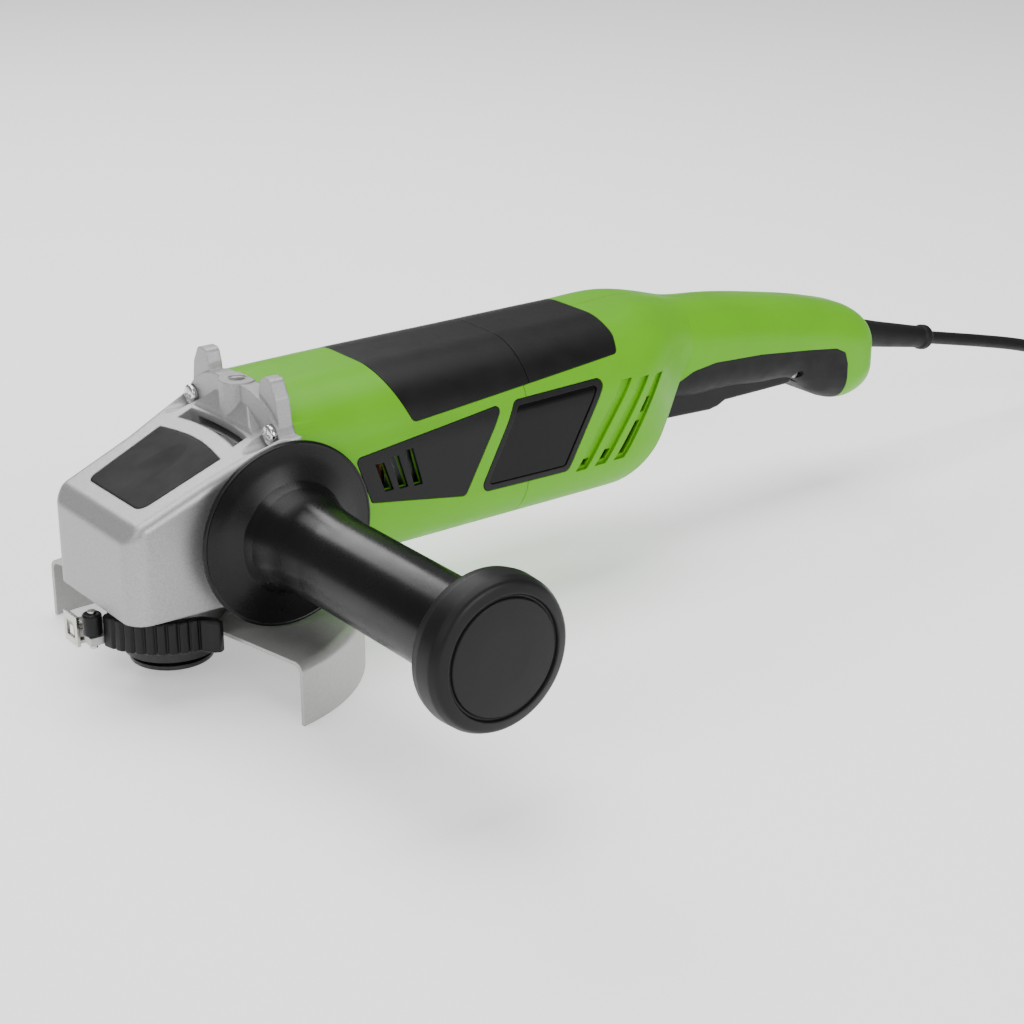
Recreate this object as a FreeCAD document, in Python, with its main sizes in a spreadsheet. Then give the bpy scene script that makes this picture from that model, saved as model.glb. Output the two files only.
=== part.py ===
"""Angle grinder with a rear handle, for 125 mm wheels, as separate pieces.

Frame: origin on the spindle axis at the plane where the wheel seats, +X towards the rear handle, +Z up,
so the spindle points down. The side handle is on -Y. Lengths are millimetres.
"""

import FreeCAD, Part
import math
import os
import Sketcher
from FreeCAD import Placement, Rotation, Vector

# Driving dimensions: each becomes a cell of the sheet with this alias.
DIMENSIONS = {
    # whole tool
    "motor_height": 60.0,
    "wall_thick": 3.0,
    "cover_depth": 1.6,
    # motor and rear housing
    "case_rear": 37.0,
    "seam_pos": 137.0,
    "tail_pos": 187.0,
    "handle_end": 344.7,
    "body_half": 37.0,
    "body_top": 95.5,
    "body_bottom": 24.0,
    "body_round": 28.0,
    "body_round_low": 23.0,
    "grip_half": 19.5,
    # gear case
    "head_front": -29.8,
    "head_half": 30.0,
    "head_bottom": 24.2,
    "gear_room": 22.3,
    "boss_face": 37.3,
    "boss_pos": 28.4,
    "boss_height": 49.0,
    "thread_core": 3.35,
    "top_hole_pos": 33.0,
    "top_hole_height": 96.0,
    "top_hole_depth": 8.4,
    "side_hole_depth": 14.5,
    "bearing_plate_radius": 27.0,
    "rear_bearing_pos": 155.0,
    # gears
    "pinion_teeth": 12.0,
    "crown_teeth": 36.0,
    "crown_pitch": 20.5,
    "gear_face": 6.0,
    # spindle and wheel seat
    "spindle_end": -8.5,
    "spindle_radius": 6.9,
    "pilot_radius": 11.1,
    "pilot_length": 2.0,
    "bearing_bore": 6.0,
    "bearing_outer": 16.0,
    "neck_radius": 20.6,
    "neck_bottom": 6.5,
    # guard and its clamp
    "guard_radius": 71.0,
    "guard_top": 13.8,
    "guard_bottom": -10.0,
    "guard_sheet": 1.5,
    "guard_start": -79.0,
    "guard_sweep": 180.0,
    "lever_bottom": 8.5,
    "lever_top": 21.0,
    "lever_inner": 25.9,
    "lever_outer": 29.6,
    # side handle
    "flange_radius": 34.5,
    "side_grip_radius": 16.3,
    "side_length": 129.6,
    "cap_radius": 27.0,
    "stud_radius": 3.3,
    # trigger
    "trigger_half": 10.8,
    "trigger_pivot": 299.0,
    "trigger_pivot_height": 48.5,
    # cord
    "cord_radius": 3.0,
    "relief_end": 396.0,
    "relief_end_height": 43.2,
    "relief_slope": 13.0,
    "coil_centre": 566.0,
    "coil_side": -16.0,
    "coil_inner": 27.0,
    "coil_outer": 45.0,
    "coil_top": 14.0,
}


class Size:
    """A length: its value, and the sheet expression that gives it."""

    def __init__(self, value, text):
        self.value = value
        self.text = text

    def joined(self, other, sign, value):
        return Size(value, f"({self.text} {sign} {size(other).text})")

    def __add__(self, other):
        return self.joined(other, "+", self.value + size(other).value)

    def __sub__(self, other):
        return self.joined(other, "-", self.value - size(other).value)

    def __mul__(self, other):
        return self.joined(other, "*", self.value * size(other).value)

    def __truediv__(self, other):
        return self.joined(other, "/", self.value / size(other).value)

    def __rsub__(self, other):
        return size(other) - self

    def __neg__(self):
        return Size(-self.value, f"(-1 * {self.text})")

    __radd__ = __add__
    __rmul__ = __mul__


def size(number):
    """A Size as it is, or a plain number as one."""
    if isinstance(number, Size):
        return number
    return Size(float(number), f"({float(number):.6f})")


doc = FreeCAD.newDocument("angle_grinder")
sheet = doc.addObject("Spreadsheet::Sheet", "Sizes")
for row, (alias, number) in enumerate(DIMENSIONS.items(), start=1):
    sheet.set(f"A{row}", alias)
    sheet.set(f"B{row}", str(number))
    sheet.setAlias(f"B{row}", alias)
doc.recompute()


class Sheet:
    """Reads each cell of the sheet as an attribute: cell.wall_thick and so on."""

    def __getattr__(self, alias):
        return Size(float(sheet.get(alias)), f"Sizes.{alias}")


cell = Sheet()
nodes = {}

ALONG_Z = Rotation()
ALONG_X = Rotation(Vector(0, 1, 0), 90)
ALONG_MINUS_Y = Rotation(Vector(1, 0, 0), 90)
ALONG_PLUS_Y = Rotation(Vector(1, 0, 0), -90)
DOWN = Rotation(Vector(1, 0, 0), 180)
# Sketch planes: the sketch's own x and y run along the two axes named.
PLANE = {
    "xy": Rotation(),
    "xz": Rotation(Vector(1, 0, 0), 90),
    "yz": Rotation(Vector(1, 1, 1), 120),
}
NORMAL = {"xy": Vector(0, 0, 1), "xz": Vector(0, 1, 0), "yz": Vector(1, 0, 0)}


def keep(label, thing):
    """Registers a finished sub-part as a node."""
    thing.Label = label
    nodes[label] = thing
    return thing


def bind(thing, prop, number):
    """Sets one property of an object from a Size or a number."""
    number = size(number)
    thing.setExpression(prop, number.text)


def place(thing, at=(0, 0, 0), turn=ALONG_Z):
    """Puts an object at a place given by Sizes."""
    where = [size(v) for v in at]
    thing.Placement = Placement(Vector(*[v.value for v in where]), turn)
    for axis, value in zip("xyz", where):
        if "Sizes" in value.text:
            thing.setExpression(f".Placement.Base.{axis}", value.text)
    return thing


def box(name, low, high):
    """A block between two corners."""
    block = doc.addObject("Part::Box", name)
    for prop, a, b in zip(("Length", "Width", "Height"), low, high):
        bind(block, prop, size(b) - size(a))
    return place(block, low)


def cylinder(name, radius, length, at=(0, 0, 0), turn=ALONG_Z):
    """A round bar that starts at a point and runs along the turned z axis."""
    bar = doc.addObject("Part::Cylinder", name)
    bind(bar, "Radius", radius)
    bind(bar, "Height", length)
    return place(bar, at, turn)


def cone(name, radius_start, radius_end, length, at=(0, 0, 0), turn=ALONG_Z):
    """A tapered round bar."""
    bar = doc.addObject("Part::Cone", name)
    bind(bar, "Radius1", radius_start)
    bind(bar, "Radius2", radius_end)
    bind(bar, "Height", length)
    return place(bar, at, turn)


def fuse(name, things):
    """One solid from several."""
    joined = doc.addObject("Part::MultiFuse", name)
    joined.Shapes = things
    joined.Refine = True
    return joined


def group(name, things):
    """Several solids kept apart in one node."""
    bunch = doc.addObject("Part::Compound", name)
    bunch.Links = things
    return bunch


def cut(name, base, tools):
    """The base with every tool taken away."""
    tool = tools[0] if len(tools) == 1 else fuse(name + "_tool", tools)
    left = doc.addObject("Part::Cut", name)
    left.Base = base
    left.Tool = tool
    left.Refine = True
    return left


def common(name, first, second):
    """What two solids share."""
    shared = doc.addObject("Part::MultiCommon", name)
    shared.Shapes = [first, second]
    return shared


def polygon(sketch, points):
    """Closed straight outline, every corner held by two bound distances."""
    places = [(size(a), size(b)) for a, b in points]
    count = len(places)
    for i, (a, b) in enumerate(places):
        c, d = places[(i + 1) % count]
        start = Vector(a.value, b.value, 0)
        end = Vector(c.value, d.value, 0)
        sketch.addGeometry(Part.LineSegment(start, end), False)
    for i in range(count):
        sketch.addConstraint(Sketcher.Constraint("Coincident", i, 2, (i + 1) % count, 1))
    for i, (a, b) in enumerate(places):
        for kind, length in (("DistanceX", a), ("DistanceY", b)):
            rule = Sketcher.Constraint(kind, -1, 1, i, 1, length.value)
            index = sketch.addConstraint(rule)
            if "Sizes" in length.text:
                sketch.setExpression(f"Constraints[{index}]", length.text)
    return sketch


def outline(name, plane, points):
    """A free-standing sketch of a closed outline in one of the main planes."""
    sketch = doc.addObject("Sketcher::SketchObject", name)
    sketch.Placement = Placement(Vector(), PLANE[plane])
    return polygon(sketch, points)


def prism(name, plane, points, start, end):
    """An outline carried along its normal from start to end."""
    sketch = outline(name + "_outline", plane, points)
    return carried(name, sketch, NORMAL[plane], start, end)


def carried(name, sketch, normal, start, end):
    """A sketch carried along a direction from start to end."""
    bar = doc.addObject("Part::Extrusion", name)
    bar.Base = sketch
    bar.DirMode = "Custom"
    bar.Dir = normal
    bar.Solid = True
    bind(bar, "LengthFwd", end)
    bind(bar, "LengthRev", -size(start))
    return bar


def rounded(name, base, radius, pick):
    """Fillets the edges that pick chooses."""
    doc.recompute()
    chosen = [i for i, edge in enumerate(base.Shape.Edges, start=1) if pick(edge)]
    fillet = doc.addObject("Part::Fillet", name)
    fillet.Base = base
    fillet.Edges = [(i, radius, radius) for i in chosen]
    return fillet


def turned(name, points, at=(0, 0, 0), turn=ALONG_Z):
    """A lathe-turned body: points are (radius, distance along the axis)."""
    body = doc.addObject("PartDesign::Body", name)
    sketch = body.newObject("Sketcher::SketchObject", name + "_half")
    flats = [f for f in body.Origin.OriginFeatures if f.Role == "XZ_Plane"]
    sketch.AttachmentSupport = [(flats[0], "")]
    sketch.MapMode = "FlatFace"
    polygon(sketch, points)
    spin = body.newObject("PartDesign::Revolution", name + "_turned")
    spin.Profile = sketch
    spin.ReferenceAxis = (sketch, ["V_Axis"])
    spin.Angle = 360.0
    return place(body, at, turn)


def ring(name, inner, outer, length, at=(0, 0, 0), turn=ALONG_Z):
    """A plain turned ring."""
    points = [(inner, 0), (outer, 0), (outer, length), (inner, length)]
    return turned(name, points, at, turn)


def upright(edge):
    """True for a straight edge along Z."""
    ends = [v.Point for v in edge.Vertexes]
    flat = Vector(ends[0].x - ends[-1].x, ends[0].y - ends[-1].y, 0)
    return len(ends) == 2 and flat.Length < 0.01 and abs(ends[0].z - ends[1].z) > 0.5


def middle(edge):
    """The middle point of an edge's box."""
    return edge.BoundBox.Center


def hex_points(across, at=(0, 0)):
    """Corners of a hexagon with this size across its flats."""
    far = across / math.sqrt(3.0)
    turns = [math.radians(60.0 * k) for k in range(6)]
    return [(at[0] + far * math.cos(t), at[1] + far * math.sin(t)) for t in turns]


# ---------------------------------------------------------------- housing shells


def section(name, station, inset):
    """One rounded cross-section of the housing: a closed wire square to X."""
    pos, half, bottom, top, round_top, round_low = [size(v) for v in station]
    half = half - inset
    bottom = bottom + inset
    top = top - inset
    round_top = round_top - inset
    round_low = round_low - inset
    sketch = doc.addObject("Sketcher::SketchObject", name)
    w, lo, hi = half.value, bottom.value, top.value
    up, low = round_top.value, round_low.value
    right = Part.LineSegment(Vector(w, lo + low, 0), Vector(w, hi - up, 0))
    roof = Part.LineSegment(Vector(w - up, hi, 0), Vector(up - w, hi, 0))
    left = Part.LineSegment(Vector(-w, hi - up, 0), Vector(-w, lo + low, 0))
    floor = Part.LineSegment(Vector(low - w, lo, 0), Vector(w - low, lo, 0))
    centres = [
        (w - up, hi - up, up), (up - w, hi - up, up),
        (low - w, lo + low, low), (w - low, lo + low, low),
    ]
    corners = []
    for k, (a, b, radius) in enumerate(centres):
        round_edge = Part.Circle(Vector(a, b, 0), Vector(0, 0, 1), radius)
        corners.append(Part.ArcOfCircle(round_edge, k * math.pi / 2, (k + 1) * math.pi / 2))
    for piece in (right, corners[0], roof, corners[1], left, corners[2], floor, corners[3]):
        sketch.addGeometry(piece, False)
    for i in range(8):
        sketch.addConstraint(Sketcher.Constraint("Tangent", i, 2, (i + 1) % 8, 1))
    for i in (0, 4):
        sketch.addConstraint(Sketcher.Constraint("Vertical", i))
    for i in (2, 6):
        sketch.addConstraint(Sketcher.Constraint("Horizontal", i))
    rules = [
        (Sketcher.Constraint("DistanceX", -1, 1, 0, 1, w), half),
        (Sketcher.Constraint("DistanceX", -1, 1, 4, 1, -w), -half),
        (Sketcher.Constraint("DistanceY", -1, 1, 2, 1, hi), top),
        (Sketcher.Constraint("DistanceY", -1, 1, 6, 1, lo), bottom),
        (Sketcher.Constraint("Radius", 1, up), round_top),
        (Sketcher.Constraint("Radius", 3, up), round_top),
        (Sketcher.Constraint("Radius", 5, low), round_low),
        (Sketcher.Constraint("Radius", 7, low), round_low),
    ]
    for rule, length in rules:
        index = sketch.addConstraint(rule)
        sketch.setExpression(f"Constraints[{index}]", length.text)
    sketch.Placement = Placement(Vector(pos.value, 0, 0), PLANE["yz"])
    sketch.setExpression(".Placement.Base.x", pos.text)
    return sketch


def body_stations():
    """Motor housing and the shoulder that narrows into the rear handle."""
    half, bottom, top = cell.body_half, cell.body_bottom, cell.body_top
    up, low = cell.body_round, cell.body_round_low
    tail = cell.tail_pos
    return [
        (cell.case_rear - 7, half - 0.3, bottom + 0.3, top - 0.3, up, low),
        (cell.case_rear + 30, half, bottom, top, up, low),
        (cell.seam_pos - 20, half, bottom, top, up, low),
        (tail - 30, half, bottom, top, up, low),
        (tail - 8, half, bottom, top, up, low),
        (tail + 4, half - 0.4, bottom, top + 0.2, up, low),
        (tail + 16, half - 3, bottom, top + 0.8, up - 2, low - 1),
        (tail + 30, half - 9.5, bottom + 2, top, 22, 18),
        (tail + 45, cell.grip_half + 0.5, bottom + 6, top - 3.6, 17, 13),
        (tail + 58, cell.grip_half - 2, bottom + 9, top - 7.5, 15, 12),
    ]


def handle_stations(inset):
    """Rear handle: it droops towards the cord and deepens at its end."""
    half = cell.grip_half
    end = cell.handle_end - inset
    return [
        (end - 126.7, half - 1.5, 50.8, 93.6, 16, 11),
        (end - 111.7, half - 0.3, 50, 91.6, 17, 11),
        (end - 96.7, half, 49.2, 88.9, 17, 11),
        (end - 74.7, half, 48.3, 86.2, 17, 11),
        (end - 53.7, half, 47.0, 82.3, 17, 10.5),
        (end - 44.2, half, 44.6, 80.4, 17, 10.5),
        (end - 35.7, half, 38.5, 78.6, 17, 11),
        (end - 25.7, half, 32.9, 76.1, 17, 12),
        (end - 17.2, half, 30.4, 73.8, 17, 13),
        (end - 9, half - 0.4, 30.6, 71.0, 17, 13),
        (end - 3, half - 2.0, 32.6, 67.4, 14, 12),
        (end, half - 5.5, 38.0, 62.0, 9, 9),
    ]


def loft(name, stations, inset):
    """A smooth solid through a list of sections, all moved in by inset."""
    sections = [section(f"{name}_{k}", s, inset) for k, s in enumerate(stations)]
    skin = doc.addObject("Part::Loft", name)
    skin.Sections = sections
    skin.Solid = True
    skin.Ruled = False
    skin.MaxDegree = 3
    return skin


def housing_form(name, inset):
    """The whole housing as one solid, moved in by inset from the outer skin."""
    body = loft(name + "_body", body_stations(), inset)
    lean = size(inset) * 1.4
    tail = cell.tail_pos - lean
    behind = [(tail, 10), (tail, 24.5), (tail + 26, 50), (tail + 56, 80), (tail + 90, 80), (tail + 90, 10)]
    trimmed = cut(name + "_trimmed", body, [prism(name + "_behind", "xz", behind, -60, 60)])
    handle = loft(name + "_handle", handle_stations(inset), inset)
    return fuse(name, [trimmed, handle])


def across(edge):
    """True for a straight edge along Y."""
    ends = [v.Point for v in edge.Vertexes]
    if len(ends) != 2:
        return False
    return abs(ends[0].x - ends[1].x) < 0.01 and abs(ends[0].z - ends[1].z) < 0.01


def side_shape(name, points, radius, depth_from, depth_to):
    """A prism across Y whose corners, seen from the side, are rounded."""
    bar = prism(name + "_sharp", "xz", points, depth_from, depth_to)
    return rounded(name, bar, radius, across)


def grip_space():
    """Side-view space of the soft grip: long soft curves in front, tight corners behind."""
    bar = prism("grip_recess_sharp", "xz", GRIP_SIDE, -60, 60)
    front = rounded("grip_recess_front", bar, 9.0, lambda e: across(e) and is_grip_front(middle(e)))
    return rounded("grip_recess", front, 2.0, lambda e: across(e) and middle(e).x > 310 and middle(e).z > 45)


def is_grip_front(centre):
    """True beside the shallow corners of the grip's upper outline."""
    return centre.x < 310 and centre.z > 45


def shrunk(points, amount):
    """A convex outline, given anticlockwise or clockwise, moved in by an amount."""
    count = len(points)
    area = sum(points[i][0] * points[(i + 1) % count][1] - points[(i + 1) % count][0] * points[i][1]
               for i in range(count))
    side = 1.0 if area > 0 else -1.0
    lines = []
    for i in range(count):
        (ax, ay), (bx, by) = points[i], points[(i + 1) % count]
        length = math.hypot(bx - ax, by - ay)
        nx, ny = -(by - ay) / length * side, (bx - ax) / length * side
        lines.append((nx, ny, nx * ax + ny * ay + amount))
    moved = []
    for i in range(count):
        a1, b1, c1 = lines[i - 1]
        a2, b2, c2 = lines[i]
        det = a1 * b2 - a2 * b1
        moved.append(((c1 * b2 - c2 * b1) / det, (a1 * c2 - a2 * c1) / det))
    return moved


# Side-view outlines (x, z) of what lies in or on the housing skin.
COVER_SIDE = [(77.5, 120), (79.0, 95), (85.5, 77.5), (184.5, 84.0), (187.0, 90), (184.0, 120)]
COVER_SPLIT = 140.0
PANEL_SIDE = [(58.5, 69.8), (125.6, 76.8), (107.4, 44.0), (65.2, 51.2)]
FRAME_SIDE = [(131.2, 76.9), (176.0, 77.6), (156.6, 42.8), (113.6, 43.6)]
GRIP_SIDE = [
    (216.5, 38), (219.0, 50.5), (225.5, 58.6), (236.0, 63.2), (248.0, 64.7), (274.0, 63.2), (302.0, 59.8),
    (318.5, 57.4), (324.0, 54.6), (325.8, 49.0), (326.2, 10), (216.5, 10),
]
PANEL_VENTS = [71.5, 78.0, 84.5]
REAR_VENTS = [175.5, 185.0, 194.5]
# Openings in the floors of the rear vents: (vent, start, end), as shares of its length from its foot.
VENT_WINDOWS = [(0, 0.04, 0.12), (1, 0.05, 0.17), (2, 0.05, 0.44), (2, 0.54, 0.72)]


def slot_side(foot_x, foot_z, top_x, top_z, half_width):
    """A slanted slot as a side-view outline."""
    return [
        (foot_x - half_width, foot_z),
        (foot_x + half_width, foot_z),
        (top_x + half_width, top_z),
        (top_x - half_width, top_z),
    ]


def panel_vents():
    """Three slanted air slots in each side panel."""
    tools = []
    for k, pos in enumerate(PANEL_VENTS):
        points = slot_side(pos + 1.6, 54.4 - 0.4 * k, pos - 2.5, 65.8 + 1.3 * k, 1.9)
        tools.append(prism(f"panel_vent_{k}", "xz", points, -60, 60))
    return tools


def rear_vent(name, index, start, end, half_width):
    """Part of a slanted vent behind the nameplates, between two shares of its length."""
    foot_x, foot_z = REAR_VENTS[index] - 12.2, 41.5 + 0.3 * index
    run, rise = 22.8, 33.0 - 1.3 * index
    low = (foot_x + run * start, foot_z + rise * start)
    high = (foot_x + run * end, foot_z + rise * end)
    return prism(name, "xz", slot_side(*low, *high, half_width), -60, 60)


def housings():
    """Motor housing, rear housing halves, and every cover let into them."""
    outer = housing_form("outer_form", 0)
    middle_form = housing_form("cover_form", cell.cover_depth)
    inner = housing_form("inner_form", cell.wall_thick)
    shell = cut("shell", outer, [cut("inner_room", inner, [rear_bearing_wall()])])
    skin = cut("skin", outer, [middle_form])
    slots = panel_vents()
    windows = [
        rear_vent(f"vent_window_{k}", index, start, end, 1.9)
        for k, (index, start, end) in enumerate(VENT_WINDOWS)
    ]
    vent_grooves = fuse("vent_grooves", [rear_vent(f"rear_vent_{k}", k, 0.0, 1.0, 2.7) for k in range(3)])

    recesses = {
        "cover": side_shape("cover_recess", COVER_SIDE, 2.5, -60, 60),
        "panel": side_shape("panel_recess", PANEL_SIDE, 2.0, -60, 60),
        "frame": side_shape("frame_recess", FRAME_SIDE, 3.0, -60, 60),
    }
    grip_prism = grip_space()
    pockets = [common(f"{key}_pocket", skin, tool) for key, tool in recesses.items()]
    pockets.append(common("vent_pocket", skin, vent_grooves))
    trigger_room = box(
        "trigger_room",
        (216.0, -cell.trigger_half - 0.6, 20),
        (303.8, cell.trigger_half + 0.6, 59.5),
    )
    relief_hole = cylinder("relief_hole", 6.6, 30, tuple(relief_point(-60.0)), relief_turn())
    openings = [grip_prism, trigger_room, relief_hole] + slots + windows
    carved = cut("carved_shell", shell, pockets + openings)

    # motor housing in front of the seam, with its screw pillars
    front = box("front_half_space", (cell.case_rear + 0.2, -60, 0), (cell.seam_pos, 60, 130))
    can = common("motor_can", carved, front)
    parts = [can] + screw_pillars()
    pillars = fuse("motor_can_pillars", parts)
    bores = [
        cylinder(f"screw_bore_{k}", 1.75, 30, (cell.case_rear - 1, y, z), ALONG_X)
        for k, (y, z) in enumerate(case_screw_places())
    ]
    keep("motor_housing", cut("motor_housing", pillars, bores))

    rear = box("rear_half_space", (cell.seam_pos + 0.2, -60, 0), (400, 60, 130))
    tail = common("rear_shell", carved, rear)
    for side, low, high in (("left", -60, -0.05), ("right", 0.05, 60)):
        half = box(f"{side}_half_space", (120, low, 0), (400, high, 130))
        keep(f"rear_housing_{side}", common(f"rear_housing_{side}", tail, half))
        grip_half = common(f"grip_stuff_{side}", shell, half)
        grip_solid = common(f"grip_solid_{side}", grip_half, grip_prism)
        pin_seat = cylinder(
            f"pin_seat_{side}", 2.02, 60, (cell.trigger_pivot, 30, cell.trigger_pivot_height), ALONG_MINUS_Y
        )
        keep(f"handle_grip_{side}", cut(f"handle_grip_{side}", grip_solid, [trigger_room, pin_seat]))

    cover_space = side_shape("cover_space", shrunk(COVER_SIDE, 0.25), 2.3, -60, 60)
    cover = common("cover_whole", skin, cover_space)
    split = COVER_SPLIT
    fore = box("cover_fore", (60, -60, 60), (split - 0.15, 60, 130))
    aft = box("cover_aft", (split + 0.15, -60, 60), (200, 60, 130))
    keep("top_cover_front", common("top_cover_front", cover, fore))
    keep("top_cover_rear", common("top_cover_rear", cover, aft))

    panel_space = side_shape("panel_space", shrunk(PANEL_SIDE, 0.25), 1.8, -60, 60)
    panel = cut("panel_whole", common("panel_skin", skin, panel_space), slots)
    frame_space = side_shape("frame_space", shrunk(FRAME_SIDE, 0.25), 2.8, -60, 60)
    plate_space = side_shape("plate_space", shrunk(FRAME_SIDE, 2.6), 1.5, -60, 60)
    plate_room = side_shape("plate_room", shrunk(FRAME_SIDE, 2.4), 1.6, -60, 60)
    frame_whole = cut("frame_whole", common("frame_skin", skin, frame_space), [plate_room])
    plate_form = housing_form("plate_form", 0.5)
    plate_whole = common("plate_whole", cut("plate_skin", plate_form, [middle_form]), plate_space)
    for side, low, high in (("left", -60, -5), ("right", 5, 60)):
        half = box(f"{side}_panel_space", (40, low, 20), (200, high, 100))
        keep(f"side_panel_{side}", common(f"side_panel_{side}", panel, half))
        keep(f"nameplate_frame_{side}", common(f"nameplate_frame_{side}", frame_whole, half))
        keep(f"nameplate_{side}", common(f"nameplate_{side}", plate_whole, half))


def rear_bearing_wall():
    """Cross wall of the rear housing that holds the rear bearing, with windows for the air."""
    start, motor = cell.rear_bearing_pos + 0.3, cell.motor_height
    wall = box("rear_wall_blank", (start, -50, 15), (start + 6.4, 50, 105))
    holes = [cylinder("rear_bearing_seat", 11.0, 20, (start - 5, 0, motor), ALONG_X)]
    for k in range(6):
        turn = math.radians(60.0 * k)
        y, z = 21.0 * math.cos(turn), 60.0 + 21.0 * math.sin(turn)
        holes.append(cylinder(f"rear_wall_window_{k}", 6.0, 20, (start - 5, y, z), ALONG_X))
    return cut("rear_wall", wall, holes)


def case_screw_places():
    """(y, z) of the four screws that hold the gear case to the motor housing."""
    reach_y, reach_z = 28.0, 23.0
    return [(y, 60.0 + z) for y in (-reach_y, reach_y) for z in (-reach_z, reach_z)]


def screw_pillars():
    """Pillars inside the motor housing that the gear-case screws bite into."""
    return [
        cylinder(f"pillar_{k}", 3.9, 22, (cell.case_rear + 0.2, y * 0.985, 60 + (z - 60) * 0.985), ALONG_X)
        for k, (y, z) in enumerate(case_screw_places())
    ]


# ---------------------------------------------------------------- gear case

TOP_LINE = [(-25.2, 60.6), (24.5, 80.9), (30.5, 82.6)]


def top_band(name, below, above):
    """A slab that follows the sloping top of the gear case, for parts let into it."""
    upper = [(x, z + above) for x, z in TOP_LINE]
    lower = [(x, z - below) for x, z in reversed(TOP_LINE)]
    return prism(name, "xz", upper + lower, -40, 40)


def gear_case():
    """Cast case: rounded head with a sloping top, rear flange, boss and ears."""
    front, half = cell.head_front, cell.head_half
    rear, bottom = cell.case_rear, cell.head_bottom
    plan = [
        (front, -half), (4, -half - 1.2), (20, -33.8), (rear, -36.4),
        (rear, 36.4), (20, 33.8), (4, half + 1.2), (front, half),
    ]
    block = prism("head_plan", "xy", plan, bottom, 90)
    block = rounded("head_corners", block, 8.0, lambda e: upright(e) and middle(e).x < -25)
    side = [(front, 10), (front, 55.0)] + TOP_LINE + [(rear, 83), (rear, 10)]
    profile = prism("head_side_sharp", "xz", side, -60, 60)
    profile = rounded("head_side", profile, 5.0, lambda e: middle(e).z > 50 and middle(e).x < -20)
    head = common("head_block", block, profile)
    head = rounded("head_soft", head, 4.2, on_rim)

    flange_station = (
        cell.case_rear - 7, cell.body_half, cell.body_bottom, cell.body_top,
        cell.body_round, cell.body_round_low,
    )
    flange = carried("flange", section("flange_section", flange_station, 0), Vector(1, 0, 0), 0, 7)
    boss_end = (cell.boss_pos, cell.boss_face, cell.boss_height)
    side_boss = cylinder("side_boss", 14.5, cell.boss_face * 2, boss_end, ALONG_MINUS_Y)
    top_boss = cylinder("top_boss", 7.0, 18, (cell.top_hole_pos, 0, cell.top_hole_height - 18))
    ears = [ear(side) for side in (-1, 1)]
    lock_boss = cylinder("lock_boss", 7.7, 8.0, (-4, 24, 42.5), ALONG_PLUS_Y)
    whole = fuse("case_whole", [head, flange, side_boss, top_boss, lock_boss, saddle()] + ears)
    before_flange = box("case_limit", (-60, -60, 0), (rear, 60, 140))
    solid = common("case_solid", whole, before_flange)

    motor = cell.motor_height
    rooms = [
        cylinder("cover_seat", 26.05, 3.0, (0, 0, bottom)),
        cylinder("gear_room", cell.gear_room, 57.0 - bottom, (0, 0, bottom)),
        cylinder("bush_seat", 8.0, 6.9, (0, 0, 56.5)),
        cylinder("pinion_room", 9.5, 16, (9.0, 0, motor), ALONG_X),
        cylinder("hub_room", 15.1, 12, (22.5, 0, motor), ALONG_X),
        cylinder("plate_seat", cell.bearing_plate_radius + 0.2, 8, (33.9, 0, motor), ALONG_X),
        cylinder("lock_bore", 2.55, 20, (-4, 14, 42.5), ALONG_PLUS_Y),
        exhaust_slot(),
        box("exhaust_duct", (20, -16, 75.6), (35, 16, 78.6)),
    ]
    for k, side in enumerate((-1, 1)):
        turn = ALONG_PLUS_Y if side > 0 else ALONG_MINUS_Y
        at = (cell.boss_pos, (cell.boss_face - cell.side_hole_depth) * side, cell.boss_height)
        rooms.append(cylinder(f"side_thread_{k}", cell.thread_core, cell.side_hole_depth + 1, at, turn))
    at = (cell.top_hole_pos, 0, cell.top_hole_height - cell.top_hole_depth)
    rooms.append(cylinder("top_thread", cell.thread_core, cell.top_hole_depth + 1, at))
    for k, (y, z) in enumerate(case_screw_places()):
        depth = 18 if z > 60 else 15
        rooms.append(cylinder(f"screw_way_{k}", 4.9, depth, (30 - depth, y, z), ALONG_X))
        rooms.append(cylinder(f"screw_hole_{k}", 1.95, 12, (28, y, z), ALONG_X))
    for k, (x, y) in enumerate(cover_screw_places()):
        rooms.append(cylinder(f"cover_thread_{k}", 1.52, 10.2, (x, y, bottom), ALONG_Z))
    plate_space = prism("insert_seat_plan", "xy", INSERT_PLAN, 40, 100)
    plate_space = rounded("insert_seat_round", plate_space, 4.2, lambda e: upright(e) and middle(e).x < 0)
    rooms.append(common("insert_seat", plate_space, top_band("insert_seat_band", 1.1, 12)))
    keep("gear_case", cut("gear_case", solid, rooms))

    plan = prism("insert_plan", "xy", shrunk(INSERT_PLAN, 0.15), 40, 100)
    plan = rounded("insert_round", plan, 4.0, lambda e: upright(e) and middle(e).x < 0)
    keep("gear_case_insert", common("gear_case_insert", plan, top_band("insert_band", 1.1, 0.15)))


INSERT_PLAN = [
    (-19.4, -19.8), (12.2, -22.0), (13.9, -12.0), (14.7, -4.0),
    (14.7, 4.0), (13.9, 12.0), (12.2, 22.0), (-19.4, 19.8),
]


def on_rim(edge):
    """True for the edges where the sloping top meets the head's sides."""
    centre = middle(edge)
    return centre.z > 50 and centre.x < 26 and edge.BoundBox.ZLength > 0.3 and not upright(edge)


def ear(side):
    """One upright ear of the flange."""
    points = [(16.0, 84), (18.0, 97.0), (19.6, 102.0), (25.2, 102.0), (28.8, 95.5), (30.6, 84)]
    points = [(y * side, z) for y, z in points]
    thick = 5.6
    horn = prism(f"ear_{side + 1}_sharp", "yz", points, cell.case_rear - thick, cell.case_rear)

    def tip(edge):
        return middle(edge).z > 94 and abs(edge.BoundBox.XLength - thick) < 0.01

    return rounded(f"ear_{side + 1}", horn, 2.6, tip)


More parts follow.
